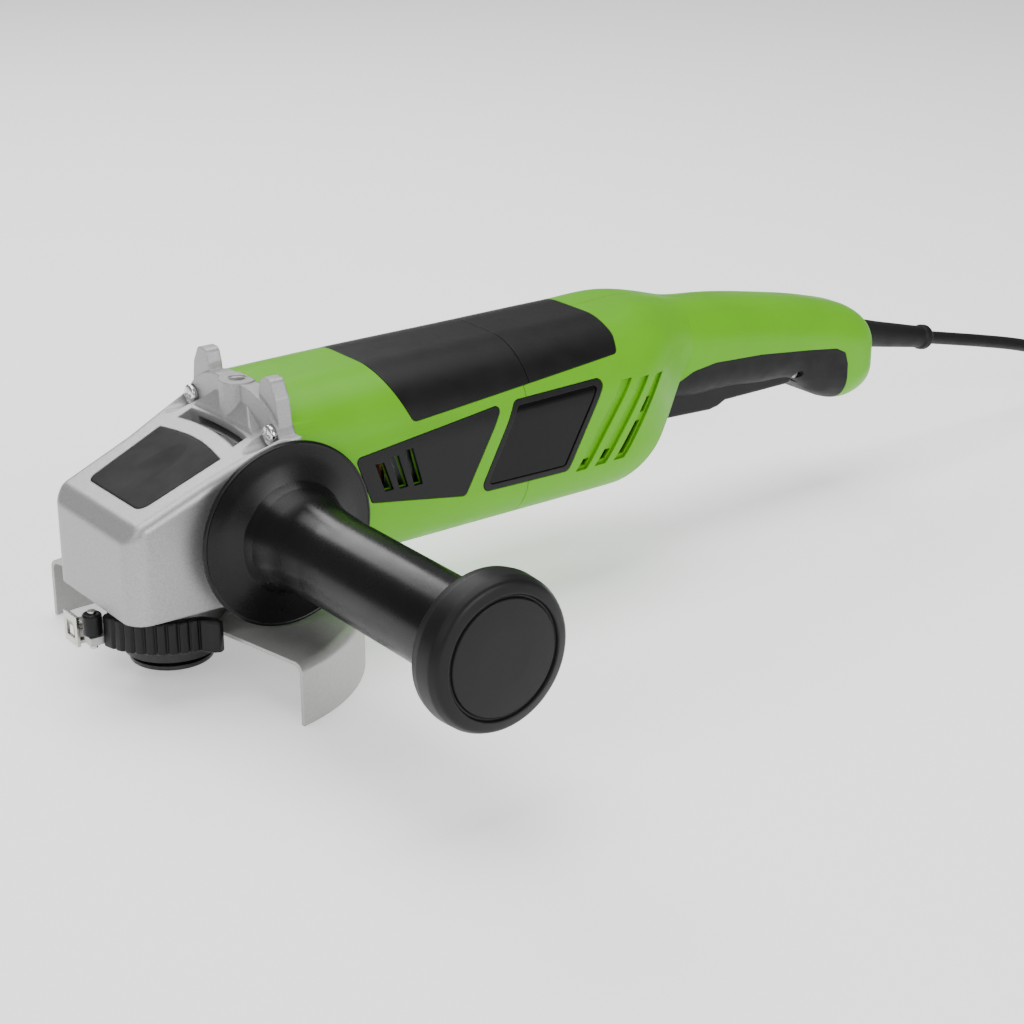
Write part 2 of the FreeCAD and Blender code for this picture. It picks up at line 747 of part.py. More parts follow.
def saddle():
    """Solid slope from the air outlet up to the top boss, falling away to the screws on both sides."""
    side = [(26.2, 70), (26.2, 83.4), (31.0, 90.8), (31.0, 70)]
    front = [(-25.0, 70), (-24.0, 79.0), (-9.0, 91), (9.0, 91), (24.0, 79.0), (25.0, 70)]
    slope = prism("saddle_side", "xz", side, -40, 40)
    return common("saddle", slope, prism("saddle_front", "yz", front, 20, 40))


def exhaust_slot():
    """The curved air outlet across the top of the head."""
    swing = 110.0
    back = cylinder("slot_back", swing, 30, (26.1 - swing, 0, 72))
    fore = cylinder("slot_fore", swing, 30, (20.3 - swing, 0, 72))
    band = cut("slot_band", back, [fore])
    return common("slot", band, box("slot_width", (0, -20.0, 71.5), (40, 20.0, 102)))


def cover_screw_places():
    """(x, y) of the four screws that hold the bearing cover."""
    reach = 24.0 * math.sqrt(0.5)
    return [(x, y) for x in (-reach, reach) for y in (-reach, reach)]


def pan_screw(name, at, turn, head_radius, head_height, radius, length):
    """A pan-head screw with a cross slot; the shank runs along the turned z axis."""
    head = cylinder(name + "_head", head_radius, head_height, at, turn)
    start = Placement(Vector(*[size(v).value for v in at]), turn)
    shank_at = start.multVec(Vector(0, 0, head_height))
    shank = cylinder(name + "_shank", radius, length, tuple(shank_at), turn)
    bars = []
    for k, (a, b) in enumerate(((head_radius * 1.1, 0.9), (0.9, head_radius * 1.1))):
        slot = doc.addObject("Part::Box", f"{name}_slot_{k}")
        slot.Length, slot.Width, slot.Height = a, b, head_height * 0.55
        corner = start.multVec(Vector(-a / 2, -b / 2, -0.01))
        slot.Placement = Placement(corner, turn)
        bars.append(slot)
    whole = fuse(name + "_solid", [head, shank])
    return cut(name, whole, bars)


def case_screws():
    """Four screws through the gear-case flange and four under the bearing cover."""
    screws = []
    for k, (y, z) in enumerate(case_screw_places()):
        screws.append(pan_screw(f"case_screw_{k}", (27.3, y, z), ALONG_X, 3.8, 2.6, 1.75, 26))
    keep("gear_case_screws", group("gear_case_screws", screws))
    screws = []
    for k, (x, y) in enumerate(cover_screw_places()):
        bottom = cell.head_bottom
        at = (x, y, bottom - 0.9)
        screws.append(pan_screw(f"cover_screw_{k}", at, ALONG_Z, 1.95, 1.6, 1.5, 9))
    keep("bearing_cover_screws", group("bearing_cover_screws", screws))


def bearing_cover():
    """Closes the gear case from below, holds the spindle bearing and carries the guard."""
    bottom, low, neck = cell.head_bottom, cell.neck_bottom, cell.neck_radius
    seat = cell.bearing_outer + 0.02
    points = [
        (9.5, low), (neck - 0.8, low), (neck, low + 0.8), (neck, bottom), (26.0, bottom),
        (26.0, bottom + 2.9), (seat, bottom + 2.9), (seat, 12.0), (9.5, 12.0),
    ]
    cover = turned("cover_turned", points)
    holes = []
    for k, (x, y) in enumerate(cover_screw_places()):
        holes.append(cylinder(f"cover_hole_{k}", 1.55, 6, (x, y, bottom - 1)))
        holes.append(cylinder(f"cover_sink_{k}", 2.05, 1.8, (x, y, bottom - 1.1)))
    keep("bearing_cover", cut("bearing_cover", cover, holes))


# ---------------------------------------------------------------- gears


def bevel_teeth(teeth, cone, far, near_cut, back, thick):
    """Straight bevel teeth, apex at the origin and the gear along +z.

    Every flank is a plane through the apex, so tooth and space shrink evenly towards it.
    """
    pitch = 2.0 * far * math.sin(cone) / teeth
    add, sink = 0.8 * pitch, 1.1 * pitch
    half_tip = thick * math.pi * pitch / 2 - add * math.tan(math.radians(20))
    half_root = thick * math.pi * pitch / 2 + sink * math.tan(math.radians(20))

    def corner(height, sideways, turn):
        across = far * math.sin(cone) + height * math.cos(cone)
        along = far * math.cos(cone) - height * math.sin(cone)
        swing = turn + sideways / across
        return Vector(across * math.cos(swing), across * math.sin(swing), along)

    rim = []
    for k in range(teeth):
        turn = 2 * math.pi * k / teeth
        rim += [
            corner(-sink, -half_root, turn), corner(add, -half_tip, turn),
            corner(add, half_tip, turn), corner(-sink, half_root, turn),
        ]
    apex = Vector(0, 0, 0)
    faces = []
    base = [Vector(p.x, p.y, back) for p in rim]
    for i, p in enumerate(rim):
        j = (i + 1) % len(rim)
        faces.append(Part.Face(Part.makePolygon([apex, p, rim[j], apex])))
        faces.append(Part.Face(Part.makePolygon([p, rim[j], base[j], base[i], p])))
    faces.append(Part.Face(Part.makePolygon(base + [base[0]])))
    solid = Part.Solid(Part.Shell(faces))
    if solid.Volume < 0:
        solid.reverse()
    return solid.cut(near_cut)


def gears():
    """Pinion on the armature and crown gear on the spindle: 12 and 36 teeth."""
    count_pinion = int(cell.pinion_teeth.value)
    count_crown = int(cell.crown_teeth.value)
    pitch_crown = cell.crown_pitch.value
    cone_pinion = math.atan(count_pinion / count_crown)
    cone_crown = math.pi / 2 - cone_pinion
    far = pitch_crown / math.sin(cone_crown)
    near = far - cell.gear_face.value
    motor = cell.motor_height.value

    nose = near * math.cos(cone_pinion)
    tip_cut = Part.makeBox(60, 60, nose, Vector(-30, -30, 0))
    pinion = bevel_teeth(count_pinion, cone_pinion, far, tip_cut, far * math.cos(cone_pinion) + 1.0, 0.37)
    collar = Part.makeCylinder(5.6, 3.2, Vector(0, 0, far * math.cos(cone_pinion) + 0.9))
    pinion = pinion.fuse(collar).cut(Part.makeCylinder(3.02, 60))
    half_pitch = Rotation(Vector(0, 0, 1), 180.0 / count_pinion)
    gear = doc.addObject("Part::Feature", "pinion_gear")
    gear.Shape = pinion
    gear.Placement = Placement(Vector(0, 0, motor), ALONG_X * half_pitch)
    keep("pinion_gear", gear)

    web = far * math.cos(cone_crown) + 3.4
    room = Part.makeCylinder(near * math.sin(cone_crown), web)
    crown = bevel_teeth(count_crown, cone_crown, far, room, 13.0, 0.37)
    hub = Part.makeCylinder(10.0, 19.0 - web, Vector(0, 0, web))
    crown = crown.fuse(hub).cut(Part.makeCylinder(cell.bearing_bore.value + 0.02, 60))
    gear = doc.addObject("Part::Feature", "crown_gear")
    gear.Shape = crown
    gear.Placement = Placement(Vector(0, 0, motor), DOWN)
    keep("crown_gear", gear)


def spindle_group():
    """Spindle, its bearings, and what clamps the wheel."""
    end, radius = cell.spindle_end, cell.spindle_radius
    bore = cell.bearing_bore - 0.03
    keep("spindle", turned("spindle", [
        (0, end), (radius - 0.9, end), (radius, end + 0.9), (radius, 7.0), (8.2, 7.0), (8.2, 12.0),
        (bore, 12.0), (bore, 50.5), (4.97, 50.5), (4.97, 62.2), (4.4, 62.8), (0, 62.8),
    ]))
    outer = cell.bearing_outer
    keep("spindle_bearing", turned("spindle_bearing", [
        (cell.bearing_bore, 12.05), (8.6, 12.05), (8.6, 12.5), (13.2, 12.5), (13.2, 12.05), (outer, 12.05),
        (outer, 22.0), (13.2, 22.0), (13.2, 21.5), (8.6, 21.5), (8.6, 22.0), (cell.bearing_bore, 22.0),
    ]))
    keep("spindle_bush", ring("spindle_bush", 5.0, 7.98, 6.0, (0, 0, 56.9)))
    pilot, reach = cell.pilot_radius, cell.pilot_length
    keep("inner_flange", turned("inner_flange", [
        (radius + 0.02, -reach), (pilot - 0.3, -reach), (pilot, 0.3 - reach), (pilot, 0.0), (17.6, 0.0),
        (17.6, 3.4), (17.0, 4.0), (8.9, 4.0), (8.9, 6.95), (radius + 0.02, 6.95),
    ]))
    nut_top = -0.3 - reach
    nut = turned("nut_turned", [
        (radius + 0.05, -5.2), (11.0, -5.2), (14.2, -4.6), (15.4, -4.0), (15.6, -3.5), (15.6, nut_top),
        (radius + 0.05, nut_top),
    ])
    holes = [cylinder(f"nut_hole_{k}", 1.5, 7, (13.4 * s, 0, -9)) for k, s in enumerate((-1, 1))]
    keep("flange_nut", cut("flange_nut", nut, holes))


def armature_group():
    """Everything that turns with the motor shaft, and the bearings it runs in."""
    motor = cell.motor_height
    at = (0, 0, motor)
    keep("armature_shaft", turned("armature_shaft", [
        (0, 9.6), (2.6, 9.6), (3.0, 10.0), (3.0, 24.8), (4.97, 24.8), (4.97, 35.5), (6.0, 35.5), (6.0, 154.5),
        (3.97, 154.5), (3.97, 162.5), (3.5, 163.0), (0, 163.0),
    ], at, ALONG_X))
    nut = prism("nut_hex", "yz", [(y, z + 60) for y, z in hex_points(8.0)], 10.4, 14.3)
    keep("pinion_nut", cut("pinion_nut", nut, [cylinder("nut_bore", 3.02, 10, (8, 0, motor), ALONG_X)]))
    keep("armature_core", armature_core())
    front_coil = turned("front_coil", [
        (6.02, 62), (15.5, 62), (18.4, 65), (18.4, 75.95), (6.02, 75.95),
    ], at, ALONG_X)
    rear_coil = turned("rear_coil", [
        (6.02, 116.05), (17.8, 116.05), (17.8, 123), (13.5, 128), (6.02, 128),
    ], at, ALONG_X)
    keep("armature_windings", group("armature_windings", [front_coil, rear_coil]))
    keep("commutator", commutator())
    keep("cooling_fan", cooling_fan())
    keep("front_bearing", ring("front_bearing", 5.0, 12.98, 8.0, (26.5, 0, motor), ALONG_X))
    keep("rear_bearing", ring("rear_bearing", 4.0, 10.98, 7.0, (cell.rear_bearing_pos, 0, motor), ALONG_X))


def armature_core():
    """Laminated core with open winding slots."""
    core = cylinder("core_blank", 20.4, 40, (76.0, 0, cell.motor_height), ALONG_X)
    tools = [cylinder("core_bore", 6.02, 50, (70.0, 0, cell.motor_height), ALONG_X)]
    for k in range(12):
        turn = math.radians(30.0 * k)
        y = 19.6 * math.cos(turn)
        z = 60 + 19.6 * math.sin(turn)
        tools.append(cylinder(f"core_slot_{k}", 1.4, 50, (70.0, y, z), ALONG_X))
    return cut("armature_core", core, tools)


def commutator():
    """Copper drum that the carbon brushes run on."""
    drum = cylinder("drum_blank", 11.5, 16, (131.0, 0, cell.motor_height), ALONG_X)
    tools = [cylinder("drum_bore", 6.02, 30, (125.0, 0, cell.motor_height), ALONG_X)]
    return cut("commutator", drum, tools)


def cooling_fan():
    """Fan with straight blades behind the front bearing."""
    motor = cell.motor_height
    disc = turned("fan_disc", [(6.02, 39.5), (11, 39.5), (11, 44), (29.3, 47), (29.3, 48.6), (6.02, 48.6)],
                  (0, 0, motor), ALONG_X)
    blades = []
    for k in range(11):
        turn = 360.0 / 11 * k
        blade = doc.addObject("Part::Box", f"fan_blade_{k}")
        blade.Length, blade.Width, blade.Height = 7.0, 1.4, 17.0
        spin = Rotation(Vector(1, 0, 0), turn)
        blade.Placement = Placement(Vector(40.5, 0, 60) + spin.multVec(Vector(0, -0.7, 12.0)), spin)
        blades.append(blade)
    return fuse("cooling_fan", [disc] + blades)


def bearing_plate():
    """Plate between gear case and motor housing that holds the front bearing."""
    edge = cell.bearing_plate_radius
    plate = turned("plate_turned", [
        (8.5, 35.0), (8.5, 37.0), (edge, 37.0), (edge, 34.0), (15.0, 34.0), (15.0, 24.5), (13.0, 24.5),
        (13.0, 35.0),
    ], (0, 0, cell.motor_height), ALONG_X)
    windows = []
    for k in range(6):
        turn = math.radians(60.0 * k + 30.0)
        y = 20.6 * math.cos(turn)
        z = 60 + 20.6 * math.sin(turn)
        windows.append(cylinder(f"air_window_{k}", 4.4, 10, (30, y, z), ALONG_X))
    keep("bearing_plate", cut("bearing_plate", plate, windows))
    keep("fan_baffle", ring("fan_baffle", 23.0, 31.4, 2.0, (50.5, 0, cell.motor_height), ALONG_X))


def stator_group():
    """The fixed half of the motor and its brush gear."""
    motor = cell.motor_height
    ring_blank = cylinder("stator_blank", 31.4, 42, (74.5, 0, motor), ALONG_X)
    tools = [cylinder("stator_bore", 21.2, 60, (70, 0, motor), ALONG_X)]
    for k, side in enumerate((-1, 1)):
        tools.append(box(f"stator_slot_{k}", (70, side * 24.0 - 3.0, 50), (120, side * 24.0 + 3.0, 70)))
    keep("stator_core", cut("stator_core", ring_blank, tools))
    coils = []
    for k, start in enumerate((62.5, 116.7)):
        coils.append(ring(f"stator_coil_{k}", 22.4, 30.6, 11.8, (start, 0, motor), ALONG_X))
    keep("stator_windings", group("stator_windings", coils))
    holders, brushes, springs = [], [], []
    for k, side in enumerate((-1, 1)):
        low, high = sorted((side * 13.0, side * 29.2))
        holder = box(f"holder_{k}", (132.0, low, 54.6), (145.0, high, 65.4))
        room = box(f"holder_room_{k}", (134.4, min(0, side * 28.0), 56.4), (142.6, max(0, side * 28.0), 63.6))
        holders.append(cut(f"brush_holder_{k}", holder, [room]))
        low, high = sorted((side * 11.9, side * 23.0))
        brushes.append(box(f"carbon_brush_{k}", (134.5, low, 56.5), (142.5, high, 63.5)))
        turn = ALONG_PLUS_Y if side > 0 else ALONG_MINUS_Y
        springs.append(coil_spring(f"brush_spring_{k}", 2.4, 0.45, 1.1, 4.4, (138.5, side * 23.3, 60), turn))
    keep("brush_holders", group("brush_holders", holders))
    keep("carbon_brushes", group("carbon_brushes", brushes))
    keep("brush_springs", group("brush_springs", springs))


def coil_spring(name, radius, wire, pitch, length, at, turn):
    """A helical spring as a swept round wire."""
    helix = doc.addObject("Part::Helix", name + "_line")
    helix.Radius, helix.Pitch, helix.Height = radius, pitch, length - 2 * wire
    helix.SegmentLength = 0
    loop = doc.addObject("Part::Circle", name + "_wire")
    loop.Radius = wire
    loop.Placement = Placement(Vector(radius, 0, 0), Rotation(Vector(1, 0, 0), 90))
    doc.recompute()
    sweep = doc.addObject("Part::Sweep", name)
    sweep.Sections = [loop]
    sweep.Spine = (helix, ["Edge1"])
    sweep.Solid = True
    sweep.Frenet = True
    start = Placement(Vector(*at), turn)
    sweep.Placement = Placement(start.multVec(Vector(0, 0, wire)), turn)
    return sweep


# ---------------------------------------------------------------- guard and its clamp


def guard_group():
    """Sheet-steel guard over the rear half of the wheel, with its clamping collar."""
    outer, sheet_thick = cell.guard_radius, cell.guard_sheet
    top, bottom = cell.guard_top, cell.guard_bottom
    hole = cell.neck_radius + 2.1
    half = [
        (hole, top - sheet_thick), (outer - sheet_thick, top - sheet_thick), (outer - sheet_thick, bottom),
        (outer, bottom), (outer, top), (hole, top),
    ]
    profile = outline("guard_profile", "xz", half)
    spin = doc.addObject("Part::Revolution", "guard_sharp")
    spin.Source = profile
    spin.Axis = Vector(0, 0, 1)
    spin.Base = Vector(0, 0, 0)
    spin.Solid = True
    bind(spin, "Angle", cell.guard_sweep)
    start = cell.guard_start
    spin.Placement = Placement(Vector(), Rotation(Vector(0, 0, 1), start.value))
    spin.setExpression(".Placement.Rotation.Angle", f"abs({start.text})")
    spin.setExpression(".Placement.Rotation.Axis.z", "-1")
    doc.recompute()
    wide, tight = outer.value, (outer - sheet_thick).value

    def round_at(radius, height):
        def pick(edge):
            curve = edge.Curve
            if not hasattr(curve, "Radius"):
                return False
            return abs(curve.Radius - radius) < 0.05 and abs(middle(edge).z - height) < 0.05

        return pick

    bend = rounded("guard_outer_bend", spin, 4.0, round_at(wide, top.value))
    bend = rounded("guard", bend, 2.5, round_at(tight, (top - sheet_thick).value))
    keep("guard", bend)

    neck = cell.neck_radius
    band = ring("collar_band", neck + 0.3, neck + 2.1, 6.0, (0, 0, 7.8))
    gap = box("collar_gap", (-40, 1.0, 0), (0, 6.0, 30))
    lugs = []
    for k, (low, high) in enumerate(((-4.2, 1.0), (6.0, 11.2))):
        lug = box(f"collar_lug_{k}", (-34.0, low, 9.4), (-20.0, high, 12.4))
        lugs.append(common(f"collar_lug_end_{k}", lug, tube_space(f"lug_space_{k}", neck + 0.9, 35.2)))
    ears = fuse("collar_parts", [cut("collar_open", band, [gap])] + lugs)
    at_lever, at_link = clamp_pin_places()
    bores = [
        cylinder("lever_pin_bore", 1.55, 20, (*at_lever, 5)),
        cylinder("link_pin_bore", 1.55, 20, (*at_link, 5)),
    ]
    keep("guard_collar", cut("guard_collar", ears, bores))
    lever_pin = cylinder("lever_pin", 1.5, 14.4, (*at_lever, 7.6))
    link_pin = cylinder("link_pin", 1.5, 8.4, (*at_link, 6.6))
    clip = ring("pin_clip", 1.5, 2.6, 0.6, (*at_link, 14.2))
    keep("clamp_pins", group("clamp_pins", [lever_pin, fuse("link_pin_clipped", [link_pin, clip])]))


def tube_space(name, inner, outer):
    """A tall tube about the spindle axis, to trim other pieces to."""
    wide = cylinder(name + "_outer", outer, 60, (0, 0, -10))
    return cut(name, wide, [cylinder(name + "_inner", inner, 60, (0, 0, -10))])


def clamp_pin_places():
    """(x, y) of the lever's pin and of the link's pin, either side of the collar's gap."""
    return (-31.6, -1.2), (-31.2, 8.8)


def clamp_lever():
    """Ribbed quick-release lever that curves round the front of the collar."""
    low, high = cell.lever_bottom, cell.lever_top
    inner, outer = cell.lever_inner, cell.lever_outer
    band = tube_space("lever_band", inner, outer)
    wedge = prism("lever_wedge", "xy", [(0, 0), (-60, -6.2), (-60, -60), (-2.0, -60), (-2.0, 0)], low, high)
    grip = common("lever_curve", band, wedge)
    tab_points = [(-4.5, -25.8), (-2.2, -26.0), (3.4, -34.6), (0.6, -36.0), (-5.0, -29.2)]
    tab = prism("lever_tab", "xy", tab_points, low, high)
    at_lever = clamp_pin_places()[0]
    eye_low, eye_high = 12.7, 21.0
    eye = cylinder("lever_eye", 3.6, eye_high - eye_low, (*at_lever, eye_low))
    web = box("lever_web", (-34.0, -6.5, eye_low), (-28.4, -1.0, eye_high))
    ribs = []
    for k in range(10):
        turn = math.radians(196.0 + 7.2 * k)
        reach = outer.value + 0.1
        place_at = (reach * math.cos(turn), reach * math.sin(turn), low)
        ribs.append(cylinder(f"lever_rib_{k}", 0.8, high - low, place_at))
    whole = fuse("lever_whole", [grip, tab, eye, web] + ribs)
    room = cylinder("lever_pin_room", 1.55, 40, (*at_lever, 0))
    below_eye = cylinder("lever_lug_room", 4.4, eye_low - 0.3 - 5, (*at_lever, 5))
    lug_room = box("lever_lug_way", (-40, -6.6, 5), (-20, 10, eye_low - 0.1))
    keep("clamp_lever", cut("clamp_lever", whole, [room, below_eye, lug_room]))


def clamp_link():
    """Stamped link with a window, from the far lug to the lever."""
    at_link = clamp_pin_places()[1]
    x, y = at_link
    plate = box("link_plate", (x - 4.4, y - 5.2, 6.8), (x - 3.2, y + 4.6, 18.4))
    window = box("link_window", (x - 5, y - 3.4, 9.6), (x - 2, y + 2.8, 15.4))
    frame = cut("link_frame", plate, [window])
    straps = [
        box(f"link_strap_{k}", (x - 3.2, y - 3.0, z), (x + 3.0, y + 3.0, z + 1.2))
        for k, z in enumerate((6.8, 13.0))
    ]
    eye = fuse("link_whole", [frame] + straps)
    bore = cylinder("link_bore", 1.56, 30, (*at_link, 0))
    keep("clamp_link", cut("clamp_link", eye, [bore]))


def lock_button():
    """Spindle-lock button on the far side of the head, with its return spring."""
    x, z = -4.0, 42.5
    keep("spindle_lock_button", turned("spindle_lock_button", [
        (0, 14.8), (2.0, 14.8), (2.5, 15.4), (2.5, 40.7), (5.6, 40.7), (5.6, 36.4), (7.2, 36.4), (7.2, 42.9),
        (6.4, 43.7), (0, 43.7),
    ], (x, 0, z), ALONG_PLUS_Y))
    keep("lock_spring", coil_spring("lock_spring", 3.9, 0.5, 1.05, 3.5, (x, 32.1, z), ALONG_PLUS_Y))


# ---------------------------------------------------------------- side handle


def side_handle():
    """Screw-in side handle: flanged grip, end cap and stud."""
    at = (cell.boss_pos, -cell.boss_face, cell.boss_height)
    wide, grip = cell.flange_radius, cell.side_grip_radius
    keep("side_handle_grip", turned("side_handle_grip", [
        (4.6, 0.1), (11.0, 0.1), (15.0, 2.6), (24.0, 2.6), (32.0, 0.5), (wide - 0.5, 0.5), (wide, 1.1),
        (wide, 1.9), (wide - 0.5, 2.6), (28.0, 3.8), (22.0, 5.6), (20.4, 7.2), (19.2, 11.0), (17.8, 17.0),
        (16.8, 24.0), (grip, 32.0), (grip, 113.4), (4.6, 113.4),
    ], at, ALONG_MINUS_Y))
    cap, length = cell.cap_radius, cell.side_length
    keep("side_handle_end_cap", turned("side_handle_end_cap", [
        (0, 113.6), (19.0, 113.6), (cap - 2.2, 114.4), (cap - 0.6, 116.4), (cap, 119.5),
        (cap - 0.4, length - 3.4), (cap - 2.0, length - 1.2), (cap - 4.6, length), (21.0, length),
        (20.7, length - 0.9), (20.1, length - 0.9), (19.8, length), (0, length),
    ], at, ALONG_MINUS_Y))
    stud = cell.stud_radius
    keep("side_handle_stud", turned("side_handle_stud", [
        (0, -12.5), (stud - 0.6, -12.5), (stud, -11.9), (stud, 0.2), (4.5, 0.2), (4.5, 60.0), (0, 60.0),
    ], at, ALONG_MINUS_Y))


# ---------------------------------------------------------------- trigger, switch and cord


def trigger_group():
    """Paddle trigger under the rear handle, its pin, and the switch it presses."""
    half = cell.trigger_half
    pivot, level = cell.trigger_pivot, cell.trigger_pivot_height
    side = [
        (219.0, 43.6), (222.0, 41.6), (254.0, 40.1), (258.6, 40.9), (262.6, 42.7), (299.0, 42.8),
        (302.6, 45.2), (302.6, 50.4), (297.0, 52.0), (232.0, 53.2), (219.0, 49.4),
    ]
    blade = prism("trigger_sharp", "xz", side, -half, half)

    def lower_long(edge):
        return abs(abs(middle(edge).y) - half.value) < 0.01 and middle(edge).z < 46

    blade = rounded("trigger_soft", blade, 1.6, lower_long)
    room = box("trigger_hollow", (230, -half + 2.2, 46.0), (294, half - 2.2, 60))
    bore = cylinder("trigger_bore", 2.05, 60, (pivot, 30, level), ALONG_MINUS_Y)
    pillar = cylinder("trigger_nose", 3.0, 7.0, (256, 0, 46.0))
    hollow = cut("trigger_open", blade, [room, bore])
    keep("trigger", fuse("trigger", [hollow, pillar]))
    keep("trigger_pin", cylinder("trigger_pin", 2.0, 28.0, (pivot, 14.0, level), ALONG_MINUS_Y))
    body = box("switch_body", (236, -8.5, 62.5), (276, 8.5, 80))
    plunger = cylinder("switch_plunger", 2.2, 4.0, (256, 0, 58.6))
    keep("switch_module", fuse("switch_module", [body, plunger]))


def relief_direction():
    """Direction in which the cord leaves the handle."""
    slope = math.radians(cell.relief_slope.value)
    return Vector(math.cos(slope), 0, -math.sin(slope))


def relief_turn():
    """Rotation that lays a z axis along that direction."""
    return Rotation(Vector(0, 1, 0), 90 + cell.relief_slope.value)


def relief_point(along):
    """A point on the strain relief's axis, this far past its outer end."""
    return Vector(cell.relief_end.value, 0, cell.relief_end_height.value) + relief_direction() * along


# Control points of the cord's route, from 14 mm inside the strain relief to the coil's outer turn.
CORD_ROUTE = [
    (382.36, 0.0, 46.35), (407.69, 0.0, 40.5), (436.0, 0.4, 33.8), (466.0, 1.6, 26.0),
    (498.0, 4.0, 15.0), (522.0, 12.5, 3.0), (541.0, 22.0, -4.6), (563.0, 25.8, -6.9),
]


def cord_group():
    """Strain relief, clamp, cord, put-away coil and plug."""
    length = 60.0
    cord = cell.cord_radius
    keep("cord_strain_relief", turned("cord_strain_relief", [
        (cord - 0.05, -4.0), (7.4, -4.0), (7.4, -0.5), (6.5, -0.5), (6.5, 16.0), (6.0, 20.0),
        (5.0, length - 5.0), (5.8, length - 3.8), (5.8, length - 0.8), (5.2, length), (cord - 0.05, length),
    ], tuple(relief_point(-length)), relief_turn()))
    inside = relief_point(-length - 12.0)
    low = (inside.x - 5, -9.0, inside.z + cord.value + 0.2)
    keep("cord_clamp", box("clamp_bar", low, (inside.x + 5, 9.0, inside.z + 6.8)))
    keep("mains_cord", cord_tube())

    side, top = cell.coil_side, cell.coil_top
    inner, outer = cell.coil_inner, cell.coil_outer
    floor = cell.guard_bottom
    keep("cord_coil", turned("cord_coil", [
        (inner, floor + 2.5), (inner + 2.5, floor), (outer - 2.5, floor), (outer, floor + 2.5),
        (outer, top - 2.5), (outer - 2.5, top), (inner + 2.5, top), (inner, top - 2.5),
    ], (cell.coil_centre, side, 0)))
    mains_plug()


def cord_tube():
    """The round cord along its route; prints its bend radii and compares its volume."""
    radius = cell.cord_radius.value
    path, radii = rounded_path([Vector(*p) for p in CORD_ROUTE])
    start = path.Edges[0]
    first = start.FirstParameter
    circle = Part.Circle(start.valueAt(first), start.tangentAt(first), radius)
    tube = doc.addObject("Part::Feature", "mains_cord")
    tube.Shape = path.makePipeShell([Part.Wire([circle.toShape()])], True, False)
    want = math.pi * radius ** 2 * path.Length
    print("cord bend radii:", ", ".join(f"{r:.0f}" for r in radii))
    print(f"cord tube {path.Length:.1f} long, volume {tube.Shape.Volume:.0f} of {want:.0f}")
    return tube


def rounded_path(points):
    """Straight runs joined by tangent arcs, each as large as its two runs allow."""
    edges = []
    radii = []
    last = points[0]
    for before, here, after in zip(points, points[1:], points[2:]):
        run_in, run_out = here - before, after - here
        turn = run_in.getAngle(run_out)
        reach = 0.45 * min(run_in.Length, run_out.Length)
        radii.append(reach / math.tan(turn / 2))
        unit_in, unit_out = Vector(run_in).normalize(), Vector(run_out).normalize()
        start, finish = here - unit_in * reach, here + unit_out * reach
        bow = (unit_out - unit_in).normalize()
        radius = radii[-1]
        centre = here + bow * (radius / math.cos(turn / 2))
        crown = centre - bow * radius
        edges.append(Part.LineSegment(last, start).toShape())
        edges.append(Part.Arc(start, crown, finish).toShape())
        last = finish
    edges.append(Part.LineSegment(last, points[-1]).toShape())
    return Part.Wire(edges), radii


def mains_plug():
    """Two-pin plug with a contoured body, lying beside the coil."""
    nose, level = 484.0, 3.0
    side = cell.coil_side.value - 42.0
    neck_rise = 12.0
    body = box("plug_block", (nose, side - 17.0, level - 12.9), (nose + 32, side + 17.0, level + 12.9))
    body = rounded("plug_body", body, 5.5, lambda e: e.BoundBox.XLength > 30)
    body = common("plug_contour", body, prism("plug_plan", "xy", [
        (nose, side - 17), (nose + 14, side - 17), (nose + 32, side - 8.5), (nose + 32, side + 8.5),
        (nose + 14, side + 17), (nose, side + 17),
    ], -30, 40))
    neck_turn = Rotation(Vector(0, 1, 0), 90 - neck_rise)
    neck = cone("plug_neck", 6.5, 4.2, 35, (nose + 30.5, side, level), neck_turn)
    pins = []
    for k, shift in enumerate((-9.5, 9.5)):
        pins.append(cylinder(f"plug_pin_{k}", 2.4, 19.5, (nose - 19.0, side + shift, level), ALONG_X))
    keep("mains_plug", fuse("mains_plug", [body, neck] + pins))


# ---------------------------------------------------------------- build and export


def checked(thing):
    """Stops if a sub-part failed, is empty or is not a valid solid."""
    shape = thing.Shape
    if shape.isNull() or not shape.isValid() or not shape.Solids:
        raise RuntimeError(f"{thing.Label} has no valid solid")
    return shape


housings()
gear_case()
case_screws()
bearing_cover()
gears()
spindle_group()
armature_group()
bearing_plate()
stator_group()
guard_group()
clamp_lever()
clamp_link()
lock_button()
side_handle()
trigger_group()
cord_group()
doc.recompute()

failed = [o.Label for o in doc.Objects if "Invalid" in o.State or "Error" in o.State]
if failed:
    raise RuntimeError(f"objects that did not build: {failed}")
os.makedirs("parts", exist_ok=True)
for label, thing in nodes.items():
    checked(thing).exportStep(f"parts/{label}.step")
print(len(nodes), "sub-parts")
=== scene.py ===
"""Looks of an angle grinder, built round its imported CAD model. Metres, in the CAD frame.

The spindle points down -Z, the rear handle runs along +X and the side handle along -Y.
"""
import math

